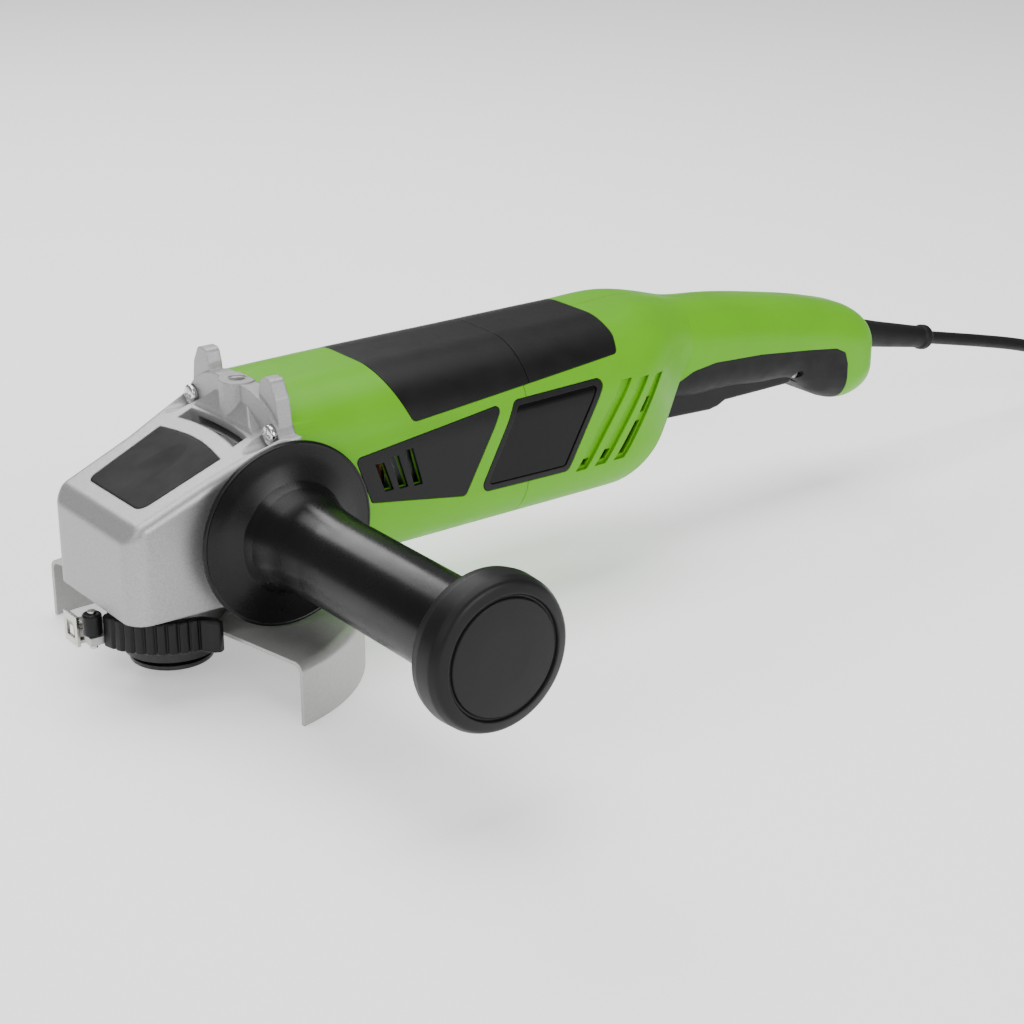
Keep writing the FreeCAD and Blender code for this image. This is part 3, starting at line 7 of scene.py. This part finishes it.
import bmesh
import bpy
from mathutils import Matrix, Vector


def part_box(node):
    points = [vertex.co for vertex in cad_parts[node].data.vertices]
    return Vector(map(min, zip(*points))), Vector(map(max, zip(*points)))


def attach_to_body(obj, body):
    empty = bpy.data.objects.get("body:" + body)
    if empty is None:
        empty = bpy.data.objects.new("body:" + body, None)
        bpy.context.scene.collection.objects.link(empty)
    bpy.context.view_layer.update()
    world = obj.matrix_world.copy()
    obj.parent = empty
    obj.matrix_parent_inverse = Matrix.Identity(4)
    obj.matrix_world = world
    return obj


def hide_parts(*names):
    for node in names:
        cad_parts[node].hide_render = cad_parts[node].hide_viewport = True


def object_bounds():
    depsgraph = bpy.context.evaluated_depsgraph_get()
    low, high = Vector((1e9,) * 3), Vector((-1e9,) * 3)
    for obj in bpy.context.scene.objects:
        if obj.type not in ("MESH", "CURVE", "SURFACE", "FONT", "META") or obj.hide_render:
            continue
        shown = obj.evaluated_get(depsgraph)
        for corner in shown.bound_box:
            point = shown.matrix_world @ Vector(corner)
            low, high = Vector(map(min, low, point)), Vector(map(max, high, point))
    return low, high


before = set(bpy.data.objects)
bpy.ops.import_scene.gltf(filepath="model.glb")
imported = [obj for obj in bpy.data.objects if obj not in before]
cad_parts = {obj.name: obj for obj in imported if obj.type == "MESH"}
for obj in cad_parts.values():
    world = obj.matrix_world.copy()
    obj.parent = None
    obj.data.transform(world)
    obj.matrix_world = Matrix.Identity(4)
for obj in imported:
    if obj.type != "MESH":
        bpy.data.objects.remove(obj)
cad_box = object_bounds()
MM = 0.001
FLOOR = cad_box[0].z


# ------------------------------------------------------------ small helpers


def link(name, data):
    """A new object of the scene."""
    thing = bpy.data.objects.new(name, data)
    bpy.context.scene.collection.objects.link(thing)
    return thing


def mesh_object(name, bm, smooth=True):
    """A mesh object from a bmesh, which it frees."""
    bmesh.ops.recalc_face_normals(bm, faces=bm.faces)
    mesh = bpy.data.meshes.new(name)
    bm.to_mesh(mesh)
    bm.free()
    for polygon in mesh.polygons:
        polygon.use_smooth = smooth
    return link(name, mesh)


def mm(*values):
    """A point given in millimetres."""
    return Vector(values) * MM


def middle_of(node):
    """Centre of a CAD node's box."""
    low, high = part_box(node)
    return (low + high) / 2


# ------------------------------------------------------------ camera and cord


def make_camera():
    """The three-quarter view from the front left, a little above the tool."""
    turn, lift = math.radians(-37.046), math.radians(21.83)
    back = Vector((math.sin(turn) * math.cos(lift), -math.cos(turn) * math.cos(lift), math.sin(lift)))
    data = bpy.data.cameras.new("camera")
    data.sensor_width = 36.0
    data.lens = 77.34
    eye = link("camera", data)
    eye.location = mm(-342.2, -661.3, 345.8)
    eye.rotation_euler = (-back).to_track_quat("-Z", "Y").to_euler()
    bpy.context.scene.camera = eye


CORD_RADIUS = 3.0
# Route from inside the strain relief to the coil, in millimetres.
CORD_ROUTE = [
    (382.36, 0.0, 46.35), (407.69, 0.0, 40.5), (436.0, 0.4, 33.8), (466.0, 1.6, 26.0),
    (498.0, 4.0, 15.0), (522.0, 12.5, 3.0), (541.0, 22.0, -4.6), (563.0, 25.8, -6.9),
]
# Where the wound cord changes row: (from turn, to turn, change of radius, change of height).
COIL_STEPS = [
    (0.88, 1.00, -6, 0), (1.88, 2.00, -6, 0), (2.72, 2.88, 0, 6), (3.56, 3.72, 6, 0), (4.56, 4.72, 6, 0),
    (5.40, 5.56, 0, 6), (6.24, 6.40, -6, 0), (7.24, 7.40, -6, 0), (8.08, 8.24, 0, 6), (8.92, 9.08, 6, 0),
    (9.92, 10.08, 6, 0),
]
COIL_TURNS = 10.5
POINTS_PER_TURN = 20


def coil_point(turns, centre):
    """A control point of the wound cord, this many turns from where it starts."""
    radius, height = 42.0, -7.0
    for start, end, wider, higher in COIL_STEPS:
        share = min(max((turns - start) / (end - start), 0.0), 1.0)
        share = share * share * (3 - 2 * share)
        radius += wider * share
        height += higher * share
    radius /= math.cos(math.pi / POINTS_PER_TURN) ** 0.7
    swing = math.pi / 2 - 2 * math.pi * turns
    return mm(radius * math.cos(swing), radius * math.sin(swing), height) + centre


def make_cord():
    """The mains cord: out of the strain relief, down to the floor and into a put-away coil."""
    centre = middle_of("cord_coil")
    centre.z = 0.0
    points = [mm(*p) for p in CORD_ROUTE]
    count = int(COIL_TURNS * POINTS_PER_TURN)
    points += [coil_point(k / POINTS_PER_TURN, centre) for k in range(1, count + 1)]
    last = points[-1]
    points += [last + mm(-12, -0.3, -0.3), last + mm(-22, -0.2, -2.2), last + mm(-31, 0, -4.4)]
    curve = bpy.data.curves.new("mains_cord_line", "CURVE")
    curve.dimensions = "3D"
    curve.bevel_depth = 1.0
    curve.bevel_resolution = 6
    curve.resolution_u = 6
    curve.use_fill_caps = True
    spline = curve.splines.new("NURBS")
    spline.points.add(len(points) - 1)
    for point, place in zip(spline.points, points):
        point.co = (*place, 1.0)
        point.radius = CORD_RADIUS * MM
    spline.order_u = 3
    spline.use_endpoint_u = True
    flex = link("mains_flex", curve)
    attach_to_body(flex, "tool_body")
    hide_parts("mains_cord", "cord_coil")
    return flex


# ------------------------------------------------------------ shapes


def rounded_line(corners, steps=5):
    """A line through (a, b, radius) corners, each rounded by an arc of its radius."""
    line = []
    for k, (a, b, radius) in enumerate(corners):
        here = Vector((a, b))
        if radius == 0 or k in (0, len(corners) - 1):
            line.append(here)
            continue
        before = Vector(corners[k - 1][:2]) - here
        after = Vector(corners[k + 1][:2]) - here
        half = before.angle(after) / 2
        reach = min(radius / math.tan(half), before.length * 0.49, after.length * 0.49)
        start, end = here + before.normalized() * reach, here + after.normalized() * reach
        for j in range(steps + 1):
            s = j / steps
            line.append(start * (1 - s) ** 2 + here * 2 * s * (1 - s) + end * s ** 2)
    return line


def divided(line, step):
    """A closed line with extra points so that none are further apart than the step."""
    points = []
    for here, after in zip(line, line[1:] + line[:1]):
        parts = max(1, math.ceil((after - here).length / step))
        points += [here.lerp(after, k / parts) for k in range(parts)]
    return points


def join_rings(bm, rings, closed):
    """Faces between rings of vertices; a ring of one vertex is a pole."""
    pairs = list(zip(rings, rings[1:]))
    if closed:
        pairs.append((rings[-1], rings[0]))
    for low, high in pairs:
        count = max(len(low), len(high))
        for k in range(count):
            n = (k + 1) % count
            corners = [low[k % len(low)], low[n % len(low)], high[n % len(high)], high[k % len(high)]]
            bm.faces.new(list(dict.fromkeys(corners)))


def turned(name, line, origin, axis, around=96, closed=False):
    """A lathe-turned piece: the line holds (radius, distance along the axis), in millimetres."""
    bm = bmesh.new()
    turn = Vector(axis).to_track_quat("Z", "Y")
    rings = []
    for radius, distance in line:
        count = around if radius > 1e-6 else 1
        ring = []
        for k in range(count):
            swing = 2 * math.pi * k / count
            spot = Vector((radius * math.cos(swing), radius * math.sin(swing), distance)) * MM
            ring.append(bm.verts.new(origin + turn @ spot))
        rings.append(ring)
    join_rings(bm, rings, closed)
    return mesh_object(name, bm)


def attach(piece, body, finish, slot, *nodes):
    """Puts a piece on a body, with its finish, in place of the CAD nodes it details."""
    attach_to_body(piece, body)
    if nodes:
        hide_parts(*nodes)
    paint(piece, finish)
    return piece


# ------------------------------------------------------------ side handle


def side_handle(finishes):
    """Grip that flares into its guard flange, and the thick end cap with a ring groove."""
    low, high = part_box("side_handle_grip")
    root = Vector(((low.x + high.x) / 2, high.y + 0.1 * MM, (low.z + high.z) / 2))
    grip = rounded_line([
        (7.0, 3.0, 0), (7.0, 0.6, 0), (11.0, 0.4, 1), (15.0, 2.6, 2), (25.0, 2.6, 4), (31.5, 0.5, 3),
        (34.45, 0.5, 0.9), (34.45, 2.3, 0.5), (33.6, 2.6, 0.3), (33.2, 2.4, 0.3), (28.0, 3.4, 30),
        (20.9, 5.7, 0.4), (19.6, 9.5, 8), (17.2, 19.0, 40), (16.3, 34.0, 60), (16.3, 112.6, 0.7),
        (15.4, 113.4, 0.3), (7.0, 113.4, 0), (7.0, 108.0, 0),
    ])
    attach(turned("side_handle_grip_skin", grip, root, (0, -1, 0), 128, closed=True),
        "tool_body", finishes["grip"], "black_plastic", "side_handle_grip")
    cap = rounded_line([
        (0, 113.6, 0), (15.0, 113.6, 1), (23.0, 114.1, 3), (26.2, 115.8, 2.4), (26.95, 119.6, 3),
        (26.6, 125.4, 3), (25.2, 128.4, 2.6), (21.4, 129.4, 0.5), (20.9, 128.2, 0.25), (20.2, 128.2, 0.25),
        (19.8, 129.2, 0.5), (10.0, 129.5, 8), (0, 129.5, 0),
    ])
    attach(turned("side_handle_cap_skin", cap, root, (0, -1, 0), 128),
        "tool_body", finishes["black"], "black_plastic", "side_handle_end_cap")


# ------------------------------------------------------------ gear case details


def screw_head(bm, centre, axis, radius, height):
    """A domed head with a cross recess, as a height field over its disc, and its short shank."""
    turn = Vector(axis).to_track_quat("Z", "Y")
    steps, around = 16, 48
    rings = []
    for j in range(steps + 1):
        share = j / steps
        ring = []
        for k in range(around if j else 1):
            swing = 2 * math.pi * k / around
            x, y = radius * share * math.cos(swing), radius * share * math.sin(swing)
            rise = height * (0.55 + 0.45 * math.sqrt(max(1 - share ** 2.4, 0.0)))
            arm = min(abs(x), abs(y))
            inside = max(0.0, 1 - arm / 0.42) * max(0.0, 1 - (math.hypot(x, y) / (radius * 0.66)) ** 6)
            rise -= 1.15 * min(inside * 2.0, 1.0)
            ring.append(bm.verts.new(centre + turn @ (Vector((x, y, rise)) * MM)))
        rings.append(ring)
    for reach, depth in ((radius, 0.0), (radius * 0.5, 0.0), (radius * 0.45, -6.0), (0.0, -6.0)):
        ring = []
        for k in range(around if reach else 1):
            swing = 2 * math.pi * k / around
            spot = Vector((reach * math.cos(swing), reach * math.sin(swing), depth)) * MM
            ring.append(bm.verts.new(centre + turn @ spot))
        rings.append(ring)
    join_rings(bm, rings, False)


def case_screws(finishes):
    """Four pan-head screws through the gear-case flange, the upper two in plain view."""
    low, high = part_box("gear_case_screws")
    head_radius, head_height = 3.8, 2.6
    bm = bmesh.new()
    inset = head_radius * MM
    for y in (low.y + inset, high.y - inset):
        for z in (low.z + inset, high.z - inset):
            screw_head(bm, Vector((low.x + head_height * MM, y, z)), (-1, 0, 0), head_radius, head_height)
    attach(mesh_object("gear_case_screw_heads", bm), "tool_body", finishes["bright"], "zinc_steel",
        "gear_case_screws")


def insert_plate(finishes):
    """Charcoal plate let into the sloping top, with a long shallow dimple."""
    low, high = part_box("gear_case_insert")
    span = high - low
    top_front = low.z + 1.1 * MM
    slope = (high.z - top_front) / span.x
    front, back = low.x, high.x - 2.4 * MM
    near_front, near_back = 19.65 * MM, high.y
    outline = rounded_line([
        (front, 0, 0), (front, near_front, 4.0 * MM), (back, near_back, 0.6 * MM),
        (back + 1.6 * MM, near_back * 0.55, 9 * MM), (high.x, near_back * 0.1, 9 * MM), (high.x, 0, 0),
    ], 8)
    outline += [Vector((p.x, -p.y)) for p in reversed(outline[1:-1])]
    outline = divided(outline, 0.8 * MM)
    centre = Vector(((low.x + high.x) / 2, 0.0))
    dip_long, dip_wide, dip_deep = 13.0 * MM, 7.0 * MM, 0.9
    rim = [(1.0, 1.5), (1.0, 0.45), (0.99, 0.12), (0.97, 0.0)]
    inward = [(0.97 * (1 - k / 28), 0.0) for k in range(1, 29)]
    bm = bmesh.new()
    rings = []
    for share, sink in rim + inward:
        ring = []
        for p in (outline if share > 1e-6 else [centre]):
            spot = centre + (p - centre) * share
            away = ((spot.x - centre.x) / dip_long) ** 2 + ((spot.y - centre.y) / dip_wide) ** 2
            dip = dip_deep * max(0.0, 1 - away) ** 1.2
            height = top_front + slope * (spot.x - front) - (sink + dip + 0.1) * MM
            ring.append(bm.verts.new((spot.x, spot.y, height)))
        rings.append(ring)
    under = [bm.verts.new((centre.x, centre.y, rings[0][0].co.z))]
    join_rings(bm, [under] + rings, False)
    attach(mesh_object("gear_case_insert_skin", bm), "tool_body", finishes["insert"], "black_plastic",
        "gear_case_insert")


def air_deflector(finishes):
    """Convex cast surface that shows in the front of the air outlet."""
    front, top = 0.0192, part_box("gear_case_insert")[1].z + 0.9 * MM
    across, along = 40, 12
    bm = bmesh.new()
    sheets = []
    for depth in (0.0, 0.8):
        rows = []
        for i in range(along + 1):
            s = i / along
            row = []
            for k in range(across + 1):
                y = -19.6 + 39.2 * k / across
                bow = 1.8 * (y / 20.0) ** 2
                x = front / MM + 3.0 * s - bow
                drop = 0.9 + 5.0 * s ** 2.4 + 1.6 * (y / 20.0) ** 4 + depth
                row.append(bm.verts.new((x * MM, y * MM, top + (0.15 * (x - 19)) * MM - drop * MM)))
            rows.append(row)
        sheets.append(rows)
    upper, lower = sheets
    for i in range(along):
        for k in range(across):
            bm.faces.new([upper[i][k], upper[i + 1][k], upper[i + 1][k + 1], upper[i][k + 1]])
            bm.faces.new([lower[i][k], lower[i][k + 1], lower[i + 1][k + 1], lower[i + 1][k]])
    for i in range(along):
        for k in (0, across):
            bm.faces.new([upper[i][k], lower[i][k], lower[i + 1][k], upper[i + 1][k]])
    for k in range(across):
        for i in (0, along):
            bm.faces.new([upper[i][k], upper[i][k + 1], lower[i][k + 1], lower[i][k]])
    attach(mesh_object("air_deflector", bm), "tool_body", finishes["cast"], "cast_aluminium")


def handle_threads(finishes):
    """Thread ridges inside the top boss and the free side boss."""
    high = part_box("gear_case")[1]
    boss_x, boss_top = 33.0, 95.6
    places = [
        ("top_boss_thread", mm(boss_x, 0, boss_top), (0, 0, -1), 6),
        ("side_boss_thread", Vector((0.0284, high.y - 0.5 * MM, 0.049)), (0, -1, 0), 9),
    ]
    pitch = 1.25
    for name, place, axis, turns in places:
        line = [(3.34, 0.0)]
        for k in range(turns):
            line += [(3.28, pitch * k), (2.85, pitch * (k + 0.5))]
        line += [(3.28, pitch * turns), (3.34, pitch * turns)]
        attach(turned(name, line, place, axis, 40, closed=True), "tool_body", finishes["zinc"],
            "cast_aluminium")


# ------------------------------------------------------------ guard clamp


def lever_path():
    """Plan points of the lever's middle line: round the collar, then out into the tab."""
    middle = 27.75
    points = []
    for k in range(241):
        turn = math.radians(188.0 + (261.5 - 188.0) * k / 240)
        points.append(Vector((middle * math.cos(turn), middle * math.sin(turn))))
    bend = [points[-1], Vector((-2.1, -28.0)), Vector((0.2, -31.2)), Vector((1.9, -34.6))]
    for k in range(1, 25):
        s = k / 24
        a, b, c, d = bend
        points.append(a * (1 - s) ** 3 + b * 3 * s * (1 - s) ** 2 + c * 3 * s ** 2 * (1 - s) + d * s ** 3)
    return points


def clamp_lever(finishes):
    """Quick-release lever with broad vertical flutes and a flared tab."""
    low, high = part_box("clamp_lever")
    bottom, top = low.z / MM, high.z / MM
    path = lever_path()
    pitch, groove, first, last = 3.9, 0.8, 5.5, 37.0
    bm = bmesh.new()
    rings = []
    walked = 0.0
    for k, here in enumerate(path):
        ahead = path[min(k + 1, len(path) - 1)] - path[max(k - 1, 0)]
        side = Vector((ahead.y, -ahead.x)).normalized()
        if side.dot(here) < 0:
            side = -side
        if k:
            walked += (here - path[k - 1]).length
        off = abs((walked - first) / pitch - round((walked - first) / pitch)) * pitch
        dent = groove * math.exp(-((off / 0.6) ** 2)) if first - 1 < walked < last + 1 else 0.0
        end = min(k, len(path) - 1 - k)
        taper = 0.72 + 0.28 * min(end / 5.0, 1.0)
        outer, inner = (1.85 - dent) * taper, -1.8 * taper
        lift = 0.5 * (1 - min(end / 5.0, 1.0))
        section = rounded_line([
            ((outer + inner) / 2, bottom + lift, 0), (outer, bottom + lift, 1.1), (outer, top - lift, 1.1),
            (inner, top - lift, 0.7), (inner, bottom + lift, 0.7), ((outer + inner) / 2, bottom + lift, 0),
        ], 4)[:-1]
        ring = []
        for a, z in section:
            spot = here + side * a
            ring.append(bm.verts.new((spot.x * MM, spot.y * MM, z * MM)))
        rings.append(ring)
    for ring in (rings[0], rings[-1]):
        bm.faces.new(ring)
    join_rings(bm, rings, False)
    attach(mesh_object("clamp_lever_skin", bm), "clamp_lever", finishes["lever"], "black_plastic",
           "clamp_lever")
    eye_at = Vector((-31.6, -1.2, 0)) * MM
    eye = rounded_line([
        (1.6, 12.8, 0), (3.1, 12.8, 0.4), (3.55, 13.3, 0.4), (3.55, 20.4, 0.5), (3.0, 20.95, 0.4),
        (1.6, 20.95, 0),
    ], 3)
    attach(turned("clamp_lever_eye", eye, eye_at, (0, 0, 1), 48, closed=True), "clamp_lever",
           finishes["lever"], "black_plastic")


# ------------------------------------------------------------ cord fittings


def strain_relief(finishes):
    """Tapered sleeve with a bead at its mouth."""
    slope = math.radians(13.0)
    axis = Vector((math.cos(slope), 0, -math.sin(slope)))
    length = 60.0
    root = mm(396.0, 0, 43.2) - axis * length * MM
    sleeve = rounded_line([
        (2.98, -3.8, 0), (7.2, -3.8, 0.4), (7.2, -0.6, 0.4), (6.45, -0.4, 0.3), (6.4, 16.0, 12),
        (5.9, 24.0, 12), (4.95, length - 5.4, 1.2), (5.7, length - 4.2, 1.0), (5.75, length - 1.6, 1.2),
        (5.0, length - 0.1, 0.8), (3.6, length - 0.1, 0.4), (2.98, length - 1.0, 0),
    ])
    attach(turned("strain_relief_skin", sleeve, root, axis, 64, closed=True), "tool_body", finishes["rubber"],
        "soft_rubber", "cord_strain_relief")


# ------------------------------------------------------------ materials


class Finish:
    """A procedural material: mottled colour, varied roughness, fine relief and softened edges."""

    def __init__(self, name, colour, rough, metal=0.0, shine=0.5):
        self.material = bpy.data.materials.new(name)
        self.material.use_nodes = True
        self.tree = self.material.node_tree
        self.shader = self.tree.nodes["Principled BSDF"]
        self.colour = colour
        self.shader.inputs["Base Color"].default_value = (*colour, 1.0)
        self.shader.inputs["Roughness"].default_value = rough
        self.shader.inputs["Metallic"].default_value = metal
        self.shader.inputs["Specular IOR Level"].default_value = shine
        self.rough = rough
        self.place = self.node("ShaderNodeTexCoord").outputs["Object"]
        self.normal = None

    def node(self, kind, **values):
        made = self.tree.nodes.new(kind)
        for key, value in values.items():
            setattr(made, key, value)
        return made

    def wire(self, output, target):
        self.tree.links.new(output, target)

    def noise(self, scale, detail=4.0, roughness=0.55, stretch=None):
        """Noise over the object's own coordinates, in cells per metre."""
        cloud = self.node("ShaderNodeTexNoise")
        cloud.inputs["Scale"].default_value = scale
        cloud.inputs["Detail"].default_value = detail
        cloud.inputs["Roughness"].default_value = roughness
        place = self.place
        if stretch:
            mapping = self.node("ShaderNodeMapping")
            mapping.inputs["Scale"].default_value = stretch
            self.wire(place, mapping.inputs["Vector"])
            place = mapping.outputs["Vector"]
        self.wire(place, cloud.inputs["Vector"])
        return cloud.outputs["Fac"]

    def ranged(self, value, low, high, to_low, to_high):
        """A value carried from one range to another and held inside it."""
        turn = self.node("ShaderNodeMapRange")
        turn.inputs["From Min"].default_value = low
        turn.inputs["From Max"].default_value = high
        turn.inputs["To Min"].default_value = to_low
        turn.inputs["To Max"].default_value = to_high
        self.wire(value, turn.inputs["Value"])
        return turn.outputs["Result"]

    def mottle(self, scale, amount, tint=(1.0, 1.0, 1.0)):
        """Lighter and darker clouds of the base colour."""
        mix = self.node("ShaderNodeMix", data_type="RGBA")
        dark = [c * (1 - amount) for c in self.colour]
        light = [min(c * (1 + amount) * t, 1.0) for c, t in zip(self.colour, tint)]
        mix.inputs["A"].default_value = (*dark, 1.0)
        mix.inputs["B"].default_value = (*light, 1.0)
        self.wire(self.ranged(self.noise(scale), 0.3, 0.7, 0.0, 1.0), mix.inputs["Factor"])
        self.wire(mix.outputs["Result"], self.shader.inputs["Base Color"])
        return self

    def patchy(self, scale, amount):
        """Roughness that wanders, as handled surfaces do."""
        value = self.ranged(self.noise(scale), 0.3, 0.7, self.rough - amount, self.rough + amount)
        self.wire(value, self.shader.inputs["Roughness"])
        return self

    def soft_edges(self, radius):
        """Rounds the look of sharp corners by this radius in millimetres."""
        bevel = self.node("ShaderNodeBevel", samples=4)
        bevel.inputs["Radius"].default_value = radius * MM
        self.normal = bevel.outputs["Normal"]
        self.wire(self.normal, self.shader.inputs["Normal"])
        return self

    def relief(self, scale, depth, detail=3.0, stretch=None):
        """Fine surface relief this deep in millimetres."""
        bump = self.node("ShaderNodeBump")
        bump.inputs["Distance"].default_value = depth * MM
        self.wire(self.noise(scale, detail, 0.6, stretch), bump.inputs["Height"])
        if self.normal:
            self.wire(self.normal, bump.inputs["Normal"])
        self.normal = bump.outputs["Normal"]
        self.wire(self.normal, self.shader.inputs["Normal"])
        return self


def plastics():
    """Moulded plastics and rubber."""
    green = Finish("green_plastic", (0.098, 0.350, 0.003), 0.36, shine=0.20)
    green.mottle(25, 0.05).patchy(90, 0.05).soft_edges(0.5).relief(1500, 0.012)
    black = Finish("black_plastic", (0.005, 0.005, 0.0055), 0.40, shine=0.20)
    black.mottle(30, 0.15).patchy(120, 0.05).soft_edges(0.5).relief(1900, 0.03)
    grip = Finish("smooth_black", (0.003, 0.003, 0.0035), 0.27, shine=0.25)
    grip.mottle(30, 0.15).patchy(80, 0.03).relief(1500, 0.008)
    lever = Finish("lever_black", (0.004, 0.004, 0.0045), 0.36, shine=0.22)
    lever.mottle(60, 0.15).patchy(200, 0.06).soft_edges(0.3).relief(1800, 0.02)
    insert = Finish("charcoal_plastic", (0.013, 0.013, 0.014), 0.58, shine=0.12)
    insert.mottle(30, 0.12).patchy(120, 0.06).soft_edges(0.4).relief(2200, 0.03)
    gloss = Finish("gloss_black", (0.003, 0.003, 0.0035), 0.08, shine=0.16)
    gloss.mottle(40, 0.2).patchy(60, 0.02).soft_edges(0.3)
    rubber = Finish("soft_rubber", (0.006, 0.006, 0.0065), 0.55, shine=0.2)
    rubber.mottle(35, 0.15).patchy(150, 0.07).soft_edges(0.5).relief(2600, 0.03)
    return {
        "green": green, "black": black, "grip": grip, "lever": lever, "insert": insert, "gloss": gloss,
        "rubber": rubber,
    }


def metals():
    """Cast, plated and ground metals."""
    cast = Finish("cast_aluminium", (0.34, 0.34, 0.345), 0.40, 0.55)
    cast.mottle(1500, 0.12).patchy(1200, 0.04).soft_edges(0.9).relief(700, 0.05).relief(2400, 0.02)
    zinc = Finish("zinc_steel", (0.42, 0.42, 0.41), 0.38, 0.5)
    zinc.mottle(900, 0.06).patchy(700, 0.05).soft_edges(0.3).relief(2400, 0.006)
    nickel = Finish("nickel_steel", (0.52, 0.51, 0.47), 0.26, 1.0)
    nickel.mottle(200, 0.10).patchy(260, 0.08).soft_edges(0.3).relief(1800, 0.01)
    dark = Finish("dark_steel", (0.030, 0.030, 0.032), 0.36, 0.6)
    dark.mottle(160, 0.2).patchy(300, 0.08).soft_edges(0.4).relief(2000, 0.01)
    bright = Finish("bright_steel", (0.70, 0.70, 0.71), 0.20, 1.0)
    bright.mottle(200, 0.06).patchy(400, 0.05).soft_edges(0.2).relief(3000, 0.005)
    bronze = Finish("bronze", (0.50, 0.30, 0.13), 0.38, 1.0)
    bronze.mottle(500, 0.15).patchy(500, 0.06).soft_edges(0.2)
    copper = Finish("copper", (0.09, 0.030, 0.012), 0.30, 0.6)
    copper.mottle(300, 0.15).patchy(300, 0.06).relief(2500, 0.02, 2.0, (1.0, 6.0, 6.0))
    sheets = Finish("lamination", (0.20, 0.20, 0.21), 0.42, 0.9)
    sheets.mottle(300, 0.12).patchy(300, 0.06).relief(900, 0.05, 1.0, (4.0, 0.1, 0.1))
    carbon = Finish("carbon", (0.030, 0.030, 0.032), 0.50)
    carbon.mottle(700, 0.2).patchy(400, 0.06).relief(3000, 0.01)
    return {
        "cast": cast, "zinc": zinc, "nickel": nickel, "dark": dark, "bright": bright,
        "bronze": bronze, "copper": copper, "sheets": sheets, "carbon": carbon,
    }


NODE_FINISHES = {
    "cast": ["gear_case", "bearing_cover", "bearing_plate"],
    "green": ["motor_housing", "rear_housing_left", "rear_housing_right"],
    "black": [
        "top_cover_front", "top_cover_rear", "side_panel_left", "side_panel_right", "nameplate_frame_left",
        "nameplate_frame_right", "trigger", "side_handle_grip", "side_handle_end_cap", "clamp_lever",
        "fan_baffle", "cooling_fan", "switch_module", "brush_holders", "spindle_lock_button", "cord_clamp",
    ],
    "insert": ["gear_case_insert"],
    "gloss": ["nameplate_left", "nameplate_right"],
    "rubber": ["handle_grip_left", "handle_grip_right", "cord_strain_relief", "mains_plug"],
    "zinc": [
        "guard", "guard_collar", "gear_case_screws", "bearing_cover_screws", "side_handle_stud",
        "pinion_nut", "trigger_pin",
    ],
    "nickel": ["clamp_link", "clamp_pins"],
    "dark": ["spindle", "inner_flange", "flange_nut", "crown_gear", "pinion_gear", "armature_shaft"],
    "bright": ["spindle_bearing", "front_bearing", "rear_bearing", "lock_spring", "brush_springs"],
    "bronze": ["spindle_bush", "commutator"],
    "copper": ["armature_windings", "stator_windings"],
    "sheets": ["armature_core", "stator_core"],
    "carbon": ["carbon_brushes"],
}


def paint(thing, finish):
    """Gives an object one finish."""
    thing.data.materials.clear()
    thing.data.materials.append(finish.material)


# ------------------------------------------------------------ stage


def area_light(name, place, target, size, power, tint=(1.0, 1.0, 1.0)):
    """A soft box that looks at a point."""
    data = bpy.data.lights.new(name, "AREA")
    data.shape = "RECTANGLE"
    data.size, data.size_y = size
    data.energy = power
    data.color = tint
    lamp = link(name, data)
    lamp.location = place
    lamp.rotation_euler = (Vector(target) - Vector(place)).to_track_quat("-Z", "Y").to_euler()


FLOOR_GLOW = 0.50
SKY_STRENGTH = 0.30


def make_stage():
    """Pale floor and plain soft studio light."""
    bm = bmesh.new()
    bmesh.ops.create_grid(bm, x_segments=2, y_segments=2, size=60.0)
    floor = mesh_object("floor", bm)
    floor.location.z = FLOOR - 0.0002
    pale = Finish("pale_floor", (0.90, 0.90, 0.90), 0.9)
    pale.mottle(3, 0.01)
    pale.shader.inputs["Emission Color"].default_value = (1.0, 1.0, 1.0, 1.0)
    pale.shader.inputs["Emission Strength"].default_value = FLOOR_GLOW
    paint(floor, pale)
    world = bpy.data.worlds.new("studio")
    world.use_nodes = True
    sky = world.node_tree.nodes["Background"]
    sky.inputs["Color"].default_value = (1.0, 1.0, 1.0, 1.0)
    sky.inputs["Strength"].default_value = SKY_STRENGTH
    bpy.context.scene.world = world
    aim = (0.1, 0.0, 0.05)
    area_light("top_box", (0.1, 0.15, 1.3), aim, (1.4, 0.9), 20)
    area_light("left_box", (-1.1, -0.5, 0.8), aim, (0.7, 0.9), 5)
    area_light("front_box", (0.25, -1.35, 0.65), aim, (0.9, 0.6), 14)
    area_light("back_box", (0.25, 1.15, 1.0), aim, (0.9, 0.4), 9)


# ------------------------------------------------------------ build

make_camera()
flex = make_cord()
finishes = {**plastics(), **metals()}
for key, names in NODE_FINISHES.items():
    for node in names:
        paint(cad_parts[node], finishes[key])
paint(flex, finishes["rubber"])
side_handle(finishes)
case_screws(finishes)
insert_plate(finishes)
air_deflector(finishes)
handle_threads(finishes)
clamp_lever(finishes)
strain_relief(finishes)
make_stage()
